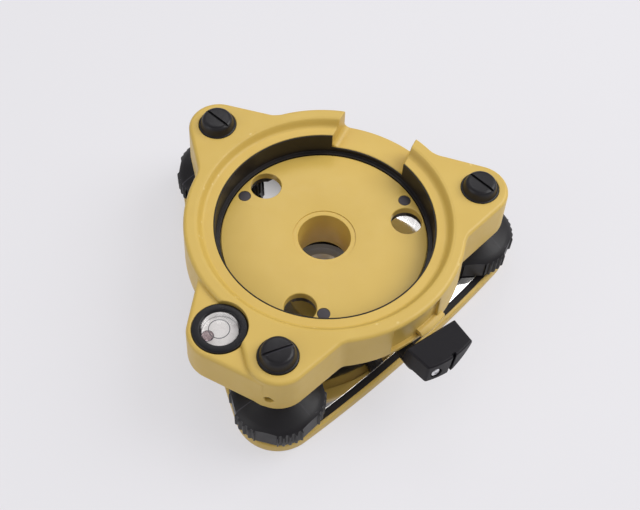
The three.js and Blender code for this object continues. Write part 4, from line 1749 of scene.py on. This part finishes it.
@dataclass
class Seat(SubAssembly):
    """The enamelled seat plate with its tube, its steel pads and the blackened band round it."""

    casting: CastBody
    radius: float = 39.9
    top: float = 32.6
    underside: float = 29.4
    rim_height: float = 1.8
    flange: float = 47.0
    edge: float = 0.35
    tube_bore: float = 10.25
    tube_wall: float = 3.05
    tube_bottom: float = 13.5
    ring_radius: float = 12.2
    ring_depth: float = 0.4
    stud_circle: float = 33.3
    stud_radius: float = 6.15
    pad_radius: float = 2.4
    pad_circles: tuple = (36.6, 36.6, 34.5)
    pad_turn: float = 15.2
    pad_depth: float = 1.0
    pad_gap: float = 0.1
    pad_play: float = 0.12
    screw_circle: float = 44.6
    screw_bore: float = 1.6
    screw_angles: tuple = (0.0, 120.0, 240.0)
    liner_outer: float = 42.3
    liner_wall: float = 0.45
    liner_foot: float = 1.6
    liner_foot_height: float = 1.7
    liner_drop: float = 0.15

    def build(self) -> None:
        """Build the plate, its pads and its band."""
        self.build_plate()
        self.build_pads()
        self.build_band()

    def build_plate(self) -> None:
        """Build the seat plate: turned outline, stud holes, pad pockets and screw holes."""
        rim = self.underside + self.rim_height
        corners = [
            (self.tube_bore, self.tube_bottom),
            (self.tube_bore + self.tube_wall, self.tube_bottom),
            (self.tube_bore + self.tube_wall, self.underside), (self.flange, self.underside),
            (self.flange, rim), (self.radius, rim), (self.radius, self.top),
            (self.ring_radius, self.top), (self.ring_radius, self.top - self.ring_depth),
            (self.tube_bore, self.top - self.ring_depth),
        ]
        radii = [0.3, 0.4, 0.8, 0.3, 0.3, 0.1, self.edge, 0.15, 0, 0.3]
        cuts = []
        for angle, circle in zip(FEET, self.pad_circles):
            stud = flared_bore(self.stud_radius, self.underside - 3, self.top, 0.25)
            cuts.append(moved(stud, (*at(angle, self.stud_circle), 0)))
            floor = self.top - self.pad_depth
            pocket = well(self.pad_radius + self.pad_play, floor, self.top + OVERRUN)
            cuts.append(moved(pocket, (*at(angle + self.pad_turn, circle), 0)))
        hole = flared_bore(self.screw_bore, self.underside - 2, rim, 0.1, 24)
        cuts += ring_of(hole, self.screw_angles, self.screw_circle)
        self.add(
            "enamelled_seat_plate", revolve(rounded(corners, radii, 3), FINE_ROUND), SEAT_ENAMEL,
            Body.UPPER, ["seat_plate"], cuts=cuts,
        )

    def build_pads(self) -> None:
        """Build the three steel rest pads."""
        bottom = self.top - self.pad_depth + self.pad_gap
        r, top = self.pad_radius, self.top
        profile = rounded([(0, bottom), (r, bottom), (r, top), (0, top)], [0, 0.1, 0.2, 0])
        for i, (angle, circle) in enumerate(zip(FEET, self.pad_circles)):
            self.add(
                f"rest_pad_{i + 1}", revolve(profile, 48), PAD_STEEL, Body.UPPER,
                [f"seat_pad_{i + 1}"], place=at(angle + self.pad_turn, circle),
            )

    def build_band(self) -> None:
        """Build the blackened band that lines the bore, open at the notch."""
        inner = self.liner_outer - self.liner_wall
        foot = inner - self.liner_foot
        bottom = self.underside + self.rim_height + self.pad_gap
        shelf = bottom + self.liner_foot_height
        top = self.casting.lip_top - self.liner_drop
        corners = [
            (foot, bottom), (self.liner_outer, bottom), (self.liner_outer, top), (inner, top),
            (inner, shelf), (foot, shelf),
        ]
        profile = rounded(corners, [0.1, 0.1, 0.08, 0.12, 0.3, 0.35], 3)
        self.add(
            "blackened_band", revolve(profile, FINE_ROUND), BAND, Body.UPPER, ["rim_liner"],
            cuts=[self.casting.notch_block(self.casting.notch_floor)],
        )


@dataclass
class FootCaps(SubAssembly):
    """The slotted black caps that close the lobes over the foot screws."""

    casting: CastBody
    flange: float = 7.4
    seat: float = 1.6
    gap: float = 0.1
    plug: float = 6.9
    plug_depth: float = 1.4
    ledge: float = 0.6
    rise: float = 3.9
    crown: float = 5.75
    shoulder: float = 1.5
    wall: float = 1.1
    lifts: tuple = (0.0, 0.0, 0.6)
    slot_width: float = 1.1
    slot_run: float = 20.0
    slot_depth: float = 0.9
    slot_angles: tuple = (-25.7, -28.3, 37.5)

    def build(self) -> None:
        """Build the three caps, each at its own height and turn."""
        for i, angle in enumerate(FEET):
            seat = self.casting.top - self.seat + self.gap + self.lifts[i]
            flange_top = self.casting.top + self.lifts[i]
            top = flange_top + self.rise
            hollow = self.crown - self.wall
            ceiling = top - self.slot_depth - self.wall
            corners = [
                (0, ceiling), (hollow, ceiling), (hollow, seat - self.plug_depth),
                (self.plug, seat - self.plug_depth), (self.plug, seat), (self.flange, seat),
                (self.flange, flange_top), (self.flange - self.ledge, flange_top),
                (self.crown, top), (0, top),
            ]
            edges = [0, 0.3, 0.1, 0.2, 0, 0.2, 0.25, 0.35, self.shoulder, 0]
            profile = rounded(corners, edges, 5)
            slot = block_plan(-self.slot_run, self.slot_run, self.slot_width / 2)
            cut = stack(slot, [(top - self.slot_depth, 0), (top + OVERRUN * 2, 0)])
            self.add(
                f"slotted_cap_{i + 1}", revolve(profile, 96), CAP_NYLON, Body.UPPER,
                [f"foot_cap_{i + 1}"], place=at(angle, FOOT_CIRCLE),
                cuts=[moved(cut, turn=self.slot_angles[i])],
            )


@dataclass
class LobeSetScrews(SubAssembly):
    """The socket set screws in the noses of the lobes."""

    casting: CastBody
    radius: float = 1.35
    length: float = 2.7
    sink: float = 1.0
    socket: float = 0.85
    socket_depth: float = 1.2

    def build(self) -> None:
        """Build the three set screws, lying along the radius."""
        outer = self.casting.lobe_circle + self.casting.lobe_radius - self.sink
        inner = outer - self.length
        profile = rounded(
            [(0, inner), (self.radius, inner), (self.radius, outer), (0, outer)],
            [0, 0.3, 0.2, 0],
        )
        socket = well(self.socket, outer - self.socket_depth, outer + OVERRUN, 6)
        height = (0, 0, self.casting.grub_height)
        for i, angle in enumerate(FEET):
            self.add(
                f"nose_set_screw_{i + 1}", moved(laid(revolve(profile, 32)), height), BLACK_STEEL,
                Body.UPPER, [f"lobe_set_screw_{i + 1}"], turn=angle,
                cuts=[moved(laid(socket), height)],
            )


@dataclass
class CircularLevel(SubAssembly):
    """The round spirit level: black case, white disc with its ring, bubble and glass."""

    casting: CastBody
    top: float = 44.1
    radius: float = 10.1
    depth: float = 8.4
    floor: float = 1.5
    bore: float = 7.0
    lead: float = 0.4
    edge: float = 0.7
    vial: float = 6.7
    vial_height: float = 3.3
    vial_sink: float = 0.1
    dome: float = 0.3
    dome_shape: tuple = ((1, 1), (0.9, 0.78), (0.7, 0.45), (0.35, 0.1), (0, 0))
    gap: float = 0.1
    mark: tuple = (-0.15, -0.3)
    mark_radius: float = 3.78
    mark_width: float = 0.3
    mark_depth: float = 0.05
    bubble: tuple = (-3.28, -3.82)
    bubble_radius: float = 2.15
    bubble_height: float = 0.9
    bubble_sink: float = 0.25
    meniscus: float = 0.13

    def build(self) -> None:
        """Build the case, the disc, the printed ring, the bubble and the glass."""
        bottom = self.top - self.depth
        floor = bottom + self.floor
        corners = [
            (0, bottom), (self.radius, bottom), (self.radius, self.top),
            (self.bore + self.lead, self.top), (self.bore, self.top - self.lead),
            (self.bore, floor), (0, floor),
        ]
        edges = [0, 0.4, self.edge, 0.3, 0.3, 0.2, 0]
        self.add(
            "round_level_case", revolve(rounded(corners, edges, 5), 128), CASE_NYLON, Body.UPPER,
            ["level_case"], place=self.casting.level,
        )
        glass_top = self.top - self.vial_sink
        glass_bottom = glass_top - self.vial_height
        disc_top = glass_bottom - self.gap
        low = floor + self.gap
        disc = rounded(
            [(0, low), (self.vial, low), (self.vial, disc_top), (0, disc_top)], [0, 0.2, 0.2, 0]
        )
        self.add(
            "white_level_disc", revolve(disc, 64), DISC, Body.UPPER, ["level_disc"],
            place=self.casting.level,
        )
        dome = [(0, glass_bottom), (self.vial, glass_bottom)]
        for share, drop in self.dome_shape:
            dome.append((self.vial * share, glass_top - self.dome * drop))
        glass = self.add(
            "level_glass", revolve(rounded(dome, [0, 0, 0.12, 0, 0, 0, 0]), 96), GLASS,
            Body.UPPER, ["level_vial"], place=self.casting.level,
        )
        glass.visible_shadow = False
        self.build_marks(glass_top - self.dome)

    def build_marks(self, height: float) -> None:
        """Build the ring printed under the glass, the bubble that floats against it, and a dark
        ring of painted shade round the bubble where refraction darkens its rim.

        Args:
            height: Height of the glass's rim.
        """
        x, y = self.casting.level
        half, low = self.mark_width / 2, height - self.mark_depth
        inner, outer = self.mark_radius - half, self.mark_radius + half
        ring = [(inner, low), (outer, low), (outer, height), (inner, height)]
        self.add(
            "printed_ring", revolve(ring, 96), PRINT, Body.UPPER, [],
            place=(x + self.mark[0], y + self.mark[1]),
        )
        place = (x + self.bubble[0], y + self.bubble[1])
        middle = height - self.bubble_sink - self.bubble_height / 2
        lens = []
        for i in range(13):
            out, up = at(-90 + 15 * i, 1.0)
            lens.append((self.bubble_radius * out, middle + self.bubble_height / 2 * up))
        lens[0], lens[-1] = (0, lens[0][1]), (0, lens[-1][1])
        air = self.add("air_bubble", revolve(lens, 64), BUBBLE, Body.UPPER, [], place=place)
        air.visible_shadow = False
        # A dark ring of painted shade at the meniscus, for the bubble's rim darkened by
        # refraction.
        edge = arc((self.bubble_radius, middle), self.meniscus, 0, 360, 10)[:-1]
        self.add("bubble_rim_shade_ring", revolve(edge, 64), MENISCUS_SHADE, Body.UPPER, [], place=place)


@dataclass
class Lever(SubAssembly):
    """The black lock lever: a bent arm under the seat and a moulded grip on its tab."""

    angle: float = 320.0
    arm_inner: float = 26.0
    arm_thickness: float = 2.3
    arm_width: float = 7.2
    arm_bottom: float = 23.9
    bend: float = 4.0
    tab_inner: float = 61.2
    tab_thickness: float = 2.2
    tab_top: float = 36.0
    inside_bend: float = 0.6
    arm_edge: float = 0.3
    play: float = 0.3
    pocket_half: float = 1.4
    pocket_edge: float = 0.1
    rivet_bore: float = 1.9
    rivet_cut: float = 20.0
    hole_run: tuple = (50.0, 80.0)
    rivets: tuple = (30.0, 38.0)
    inner: float = 59.1
    front: float = 69.3
    bulge: float = 1.8
    left: float = -5.2
    left_slope: float = 1.1
    skew: float = 1.8
    end_lean: float = 0.97
    right: float = 16.9
    top: float = 38.5
    bottom: float = 29.8
    flare: float = 0.9
    edge: float = 0.65
    cut_from: float = 7.0
    cut_top: float = 37.2
    cut_reach: float = 19.0
    slit_top: float = 7.2
    slit_bottom: float = 4.4
    slit_width: float = 1.5
    slit_depth: float = 1.3
    slit_run: float = 10.2
    slit_edge: float = 0.12
    screw_height: float = 33.6
    screw_radius: float = 1.9
    screw_face: float = 71.1
    screw_head: float = 1.5
    screw_shank: float = 1.2
    screw_recess: float = 2.2
    recess_edge: float = 0.2
    slot_width: float = 0.6
    slot_depth: float = 0.5
    slot_reach: float = 0.72
    slot_taper: float = 0.6
    reach_grid: tuple = (57.8, 72.6, 0.34)
    side_grid: tuple = (-7.2, 19.4, 0.34)
    height_grid: tuple = (29.2, 39.2, 0.3)

    def plan(self) -> list:
        """Outline of the grip from above: straight back and a bowed front.

        Returns:
            Points of the outline in order.
        """
        half = (self.right - self.left) / 2
        radius = (half**2 + self.bulge**2) / (2 * self.bulge)
        spread_angle = math.degrees(math.asin(half / radius))
        centre = (self.front + self.bulge - radius, self.left + half)
        front = arc(centre, radius, -spread_angle, spread_angle, 16)
        return [(self.inner, self.left), *front, (self.inner, self.right)]

    def distance(self, x: Array, y: Array, z: Array) -> Array:
        """Signed distance to the grip in its own frame of reach, side and height.

        Args:
            x: First coordinates.
            y: Second coordinates.
            z: Heights.

        Returns:
            Distances, negative inside.
        """
        grow = self.flare * (self.top - z) / (self.top - self.bottom)
        form = polygon_distance(x, y, self.plan()) - grow
        skew = (x - self.inner) / (self.front - self.inner) * self.skew
        end = self.left + skew - y - (self.top - z) / (self.top - self.bottom) * self.left_slope
        form = soft_max(form, end * self.end_lean, self.edge)
        form = soft_max(form, z - self.top, self.edge)
        form = soft_max(form, self.bottom - z, self.edge)
        run = self.cut_reach - self.cut_from
        rise = self.cut_top - self.bottom
        slope = ((y - self.cut_from) * rise - (z - self.bottom) * run) / math.hypot(run, rise)
        form = soft_max(form, slope, self.edge)
        wide = np.abs(y) - self.arm_width / 2 - self.play
        tab = np.maximum(wide, z - self.tab_top - self.play)
        deep = np.abs(x - self.tab_inner - self.tab_thickness / 2) - self.pocket_half
        form = soft_max(form, -np.maximum(tab, deep), self.pocket_edge)
        slant = self.slit_bottom - self.slit_top
        across = self.slit_top + slant * (self.top - z) / self.slit_run
        front = self.front + self.bulge - self.slit_depth
        half = self.slit_width / 2
        slit = np.maximum(np.abs(y - across - half) - half, front - x)
        form = soft_max(form, -slit, self.slit_edge)
        away = np.hypot(y, z - self.screw_height)
        back = self.screw_face - self.screw_head - self.play
        recess = np.maximum(away - self.screw_recess, back - x)
        form = soft_max(form, -recess, self.recess_edge)
        bore = np.maximum(away - self.screw_shank - self.play, self.tab_inner - x)
        return np.maximum(form, -bore)

    def build(self) -> None:
        """Build the arm, the grip and its screw."""
        self.build_arm()
        grids = (self.reach_grid, self.side_grid, self.height_grid)
        points, faces = net(self.distance, *(np.arange(*grid) for grid in grids), False)
        points, normals = settle(self.distance, points)
        grip = self.add(
            "moulded_grip", (points, faces), GRIP_NYLON, Body.LOCK, ["lever_grip"],
            turn=self.angle, crease=SMOOTH,
        )
        grip.data.normals_split_custom_set_from_vertices(normals.tolist())
        self.build_screw()

    def build_arm(self) -> None:
        """Build the arm: flat bar, bent up into a tab, with rounded edges."""
        low, high = self.arm_bottom, self.arm_bottom + self.arm_thickness
        outer, inside = self.tab_inner + self.tab_thickness, self.inside_bend
        side = [
            (self.arm_inner, low),
            *arc((outer - self.bend, low + self.bend), self.bend, 270, 360, 8),
            (outer, self.tab_top), (self.tab_inner, self.tab_top),
            *arc((self.tab_inner - inside, high + inside), inside, 0, -90, 5),
            (self.arm_inner, high),
        ]
        half = self.arm_width / 2
        layers = edge_layers(-half, half, self.arm_edge, self.arm_edge, 3)
        form = upright(stack(np.array(side), layers))
        rivet_hole = flared_bore(self.rivet_bore, self.rivet_cut, high, 0.1, 32)
        cuts = [moved(rivet_hole, (reach, 0, 0)) for reach in self.rivets]
        hole = well(self.screw_shank + self.play, *self.hole_run, 32)
        cuts.append(moved(laid(hole), (0, 0, self.screw_height)))
        self.add(
            "bent_lever_arm", form, ARM_BLACK, Body.LOCK, ["lever_arm"], turn=self.angle,
            cuts=cuts,
        )

    def build_screw(self) -> None:
        """Build the small bright screw with its crossed slots."""
        face = self.screw_face
        back = face - self.screw_head
        corners = [
            (0, self.tab_inner), (self.screw_shank, self.tab_inner), (self.screw_shank, back),
            (self.screw_radius, back), (self.screw_radius, face - 0.3),
            (self.screw_radius * 0.6, face), (0, face),
        ]
        profile = rounded(corners, [0, 0.3, 0, 0.1, 0.3, 0.3, 0])
        half = self.slot_width / 2
        reach = self.screw_radius * self.slot_reach
        tip = face - self.slot_depth * 1.6
        cuts = []
        for turn in (45, 135):
            bar = block_plan(-reach, reach, half)
            slot = stack(bar, [(tip, half * self.slot_taper), (face + OVERRUN, 0)])
            cuts.append(moved(laid(moved(slot, turn=turn)), (0, 0, self.screw_height)))
        self.add(
            "grip_screw", moved(laid(revolve(profile, 48)), (0, 0, self.screw_height)),
            SCREW_STEEL, Body.LOCK, ["lever_screw"], turn=self.angle, cuts=cuts,
        )


@dataclass
class PackedMetal(SubAssembly):
    """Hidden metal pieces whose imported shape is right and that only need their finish."""

    def build(self) -> None:
        """Dress the bushes, screws, rivets and rings."""
        self.keep(BRASS, "foot_bush_1", "foot_bush_2", "foot_bush_3")
        self.keep(STEEL, "seat_plate_screw_1", "seat_plate_screw_2", "seat_plate_screw_3")
        self.keep(STEEL, "lever_rivet_1", "lever_rivet_2", "lock_retaining_ring")
        self.keep(GREY_STEEL, "lock_ring")


# Studio


@dataclass
class Studio:
    """Pale floor, soft light and the camera at the photograph's angle."""

    focal: float = 61.78
    eye: tuple = (51.3, -232.7, 385.0)
    back: tuple = (0.1203, -0.5325, 0.8379)
    right: tuple = (0.9754, 0.2203, 0.0)
    roll: float = 3.614
    clip: tuple = (0.01, 20.0)
    sensor: float = 36.0
    floor_size: float = 4.0
    floor_colour: str = "#ECEBEE"
    world_colour: str = "#F4F3F7"
    floor_seen: str = "#8C8B8E"
    glow: float = 0.66
    horizon: float = 0.92
    band: float = 0.25
    bright: float = 1.0
    zenith: float = 0.12
    gloom: float = 0.04
    horizon_fade: tuple = (0.1, 0.4)
    band_rise: tuple = (0.55, 0.7)
    zenith_fall: tuple = (0.825, 0.845)
    light_rise: tuple = (0.45, 0.9)
    lamps: tuple = (
        ("main_softbox", (0.75, 0.45, 0.95), 0.9, 9.6),
        ("back_softbox", (-0.176, 0.66, 0.91), 0.3, 0.8),
        ("front_fill", (-0.9, -0.8, 0.6), 0.8, 3.0),
    )
    lamp_aim: tuple = (0.0, 0.0, 0.03)

    def build(self) -> None:
        """Set up the floor, the world, the lamps and the camera."""
        self.build_floor()
        self.build_world()
        self.build_lamps()
        self.build_camera()

    def seen(self, tree: Tree) -> Socket:
        """Return one for rays that see the surroundings: camera, glossy and transmission.

        Args:
            tree: Node tree of the material or the world.

        Returns:
            Output that is one for such rays and zero for the others.
        """
        path = add_node(tree, "LightPath")
        total = path.outputs["Is Camera Ray"]
        for name in ("Is Glossy Ray", "Is Transmission Ray"):
            total = add_node(
                tree, "Math", None, {0: total, 1: path.outputs[name]}, operation="MAXIMUM"
            ).outputs[0]
        return total

    def build_floor(self) -> None:
        """Lay a large matt floor under the feet, which lifts its own tone but keeps shadows."""
        size = self.floor_size
        mesh = bpy.data.meshes.new("studio_floor")
        mesh.from_pydata(
            [(-size, -size, 0), (size, -size, 0), (size, size, 0), (-size, size, 0)], [],
            [(0, 1, 2, 3)],
        )
        floor = bpy.data.objects.new("studio_floor", mesh)
        bpy.context.scene.collection.objects.link(floor)
        made = bpy.data.materials.new("matt_paper")
        made.use_nodes = True
        tree = made.node_tree
        tree.nodes.clear()
        output = add_node(tree, "OutputMaterial")
        seen = self.seen(tree)
        tone = blend_colours(tree, seen, self.floor_colour, self.floor_seen)
        paper = add_node(tree, "BsdfDiffuse", None, {"Color": tone})
        strength = add_node(tree, "Math", {1: self.glow}, {0: seen}, operation="MULTIPLY")
        glow = add_node(
            tree, "Emission", {"Color": linear(self.floor_colour)},
            {"Strength": strength.outputs[0]},
        )
        both = add_node(tree, "AddShader", None, {0: paper.outputs[0], 1: glow.outputs[0]})
        tree.links.new(both.outputs[0], output.inputs["Surface"])
        mesh.materials.append(made)

    def build_world(self) -> None:
        """Light softly from overhead, and show a pale horizon, a white band and a dark zenith."""
        world = bpy.data.worlds.new("studio")
        bpy.context.scene.world = world
        world.use_nodes = True
        tree = world.node_tree
        tree.nodes.clear()
        output = add_node(tree, "OutputWorld")
        place = add_node(tree, "TexCoord")
        axes = add_node(tree, "SeparateXYZ", None, {0: place.outputs["Generated"]})
        height = axes.outputs["Z"]
        low = self.ramp(tree, height, self.horizon_fade, (self.horizon, self.band))
        high = self.ramp(tree, height, self.band_rise, (self.band, self.bright))
        top = self.ramp(tree, height, self.zenith_fall, (self.bright, self.zenith))
        above = add_node(tree, "Math", None, {0: high, 1: top}, operation="MINIMUM")
        backdrop = add_node(tree, "Math", None, {0: low, 1: above.outputs[0]}, operation="MAXIMUM")
        light = self.ramp(tree, height, self.light_rise, (self.gloom, self.bright))
        strength = add_node(
            tree, "MapRange", None,
            {"Value": self.seen(tree), "To Min": light, "To Max": backdrop.outputs[0]},
        )
        sky = add_node(
            tree, "Background", {"Color": linear(self.world_colour)},
            {"Strength": strength.outputs["Result"]},
        )
        tree.links.new(sky.outputs[0], output.inputs["Surface"])

    def ramp(self, tree: Tree, value: Socket, span: tuple, ends: tuple) -> Socket:
        """Run from one end value to the other while a value crosses a span."""
        settings = {"From Min": span[0], "From Max": span[1], "To Min": ends[0], "To Max": ends[1]}
        return add_node(tree, "MapRange", settings, {"Value": value}).outputs["Result"]

    def lamp(self, name: str, place: tuple, size: float, power: float) -> None:
        """Add a square soft lamp that looks at the middle of the object.

        Args:
            name: Name of the lamp.
            place: Metres in the row frame.
            size: Side of the square in metres.
            power: Watts.
        """
        data = bpy.data.lights.new(name, "AREA")
        data.shape = "SQUARE"
        data.size = size
        data.energy = power
        lamp = bpy.data.objects.new(name, data)
        bpy.context.scene.collection.objects.link(lamp)
        aim = Vector(self.lamp_aim) - Vector(place)
        lamp.location = place
        lamp.rotation_euler = aim.to_track_quat("-Z", "Y").to_euler()

    def build_lamps(self) -> None:
        """Hang a broad lamp on the right, a small one behind and a weak one on the left."""
        for lamp in self.lamps:
            self.lamp(*lamp)

    def build_camera(self) -> None:
        """Stand the camera where the photograph was taken, with no shift and no blur."""
        turn = math.radians(self.roll)
        back, right = Vector(self.back).normalized(), Vector(self.right).normalized()
        up = back.cross(right)
        across = right * math.cos(turn) + up * math.sin(turn)
        upward = up * math.cos(turn) - right * math.sin(turn)
        data = bpy.data.cameras.new("camera")
        data.lens = self.focal
        data.sensor_width = self.sensor
        data.sensor_fit = "HORIZONTAL"
        data.clip_start, data.clip_end = self.clip
        camera = bpy.data.objects.new("camera", data)
        bpy.context.scene.collection.objects.link(camera)
        spot = Vector(self.eye) + Vector((AXIS[0], AXIS[1], 0))
        matrix = Matrix((across, upward, back)).transposed().to_4x4()
        camera.matrix_world = Matrix.Translation(spot * MM) @ matrix
        bpy.context.scene.camera = camera
        bpy.context.scene.view_settings.view_transform = "Standard"


def write_sizes() -> None:
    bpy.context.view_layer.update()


def main() -> None:
    """Build every sub-assembly, dress it and light it."""
    logging.basicConfig(level=logging.INFO, format="%(message)s")
    casting = CastBody()
    assemblies = (
        BasePlate(),
        TripodBush(),
        SpringPlate(),
        FootScrews(),
        casting,
        Seat(casting),
        FootCaps(casting),
        LobeSetScrews(casting),
        CircularLevel(casting),
        Lever(),
        PackedMetal(),
        Studio(),
    )
    for assembly in assemblies:
        log.info("Building %s", type(assembly).__name__)
        assembly.build()
    write_sizes()


if __name__ == "__main__":
    main()
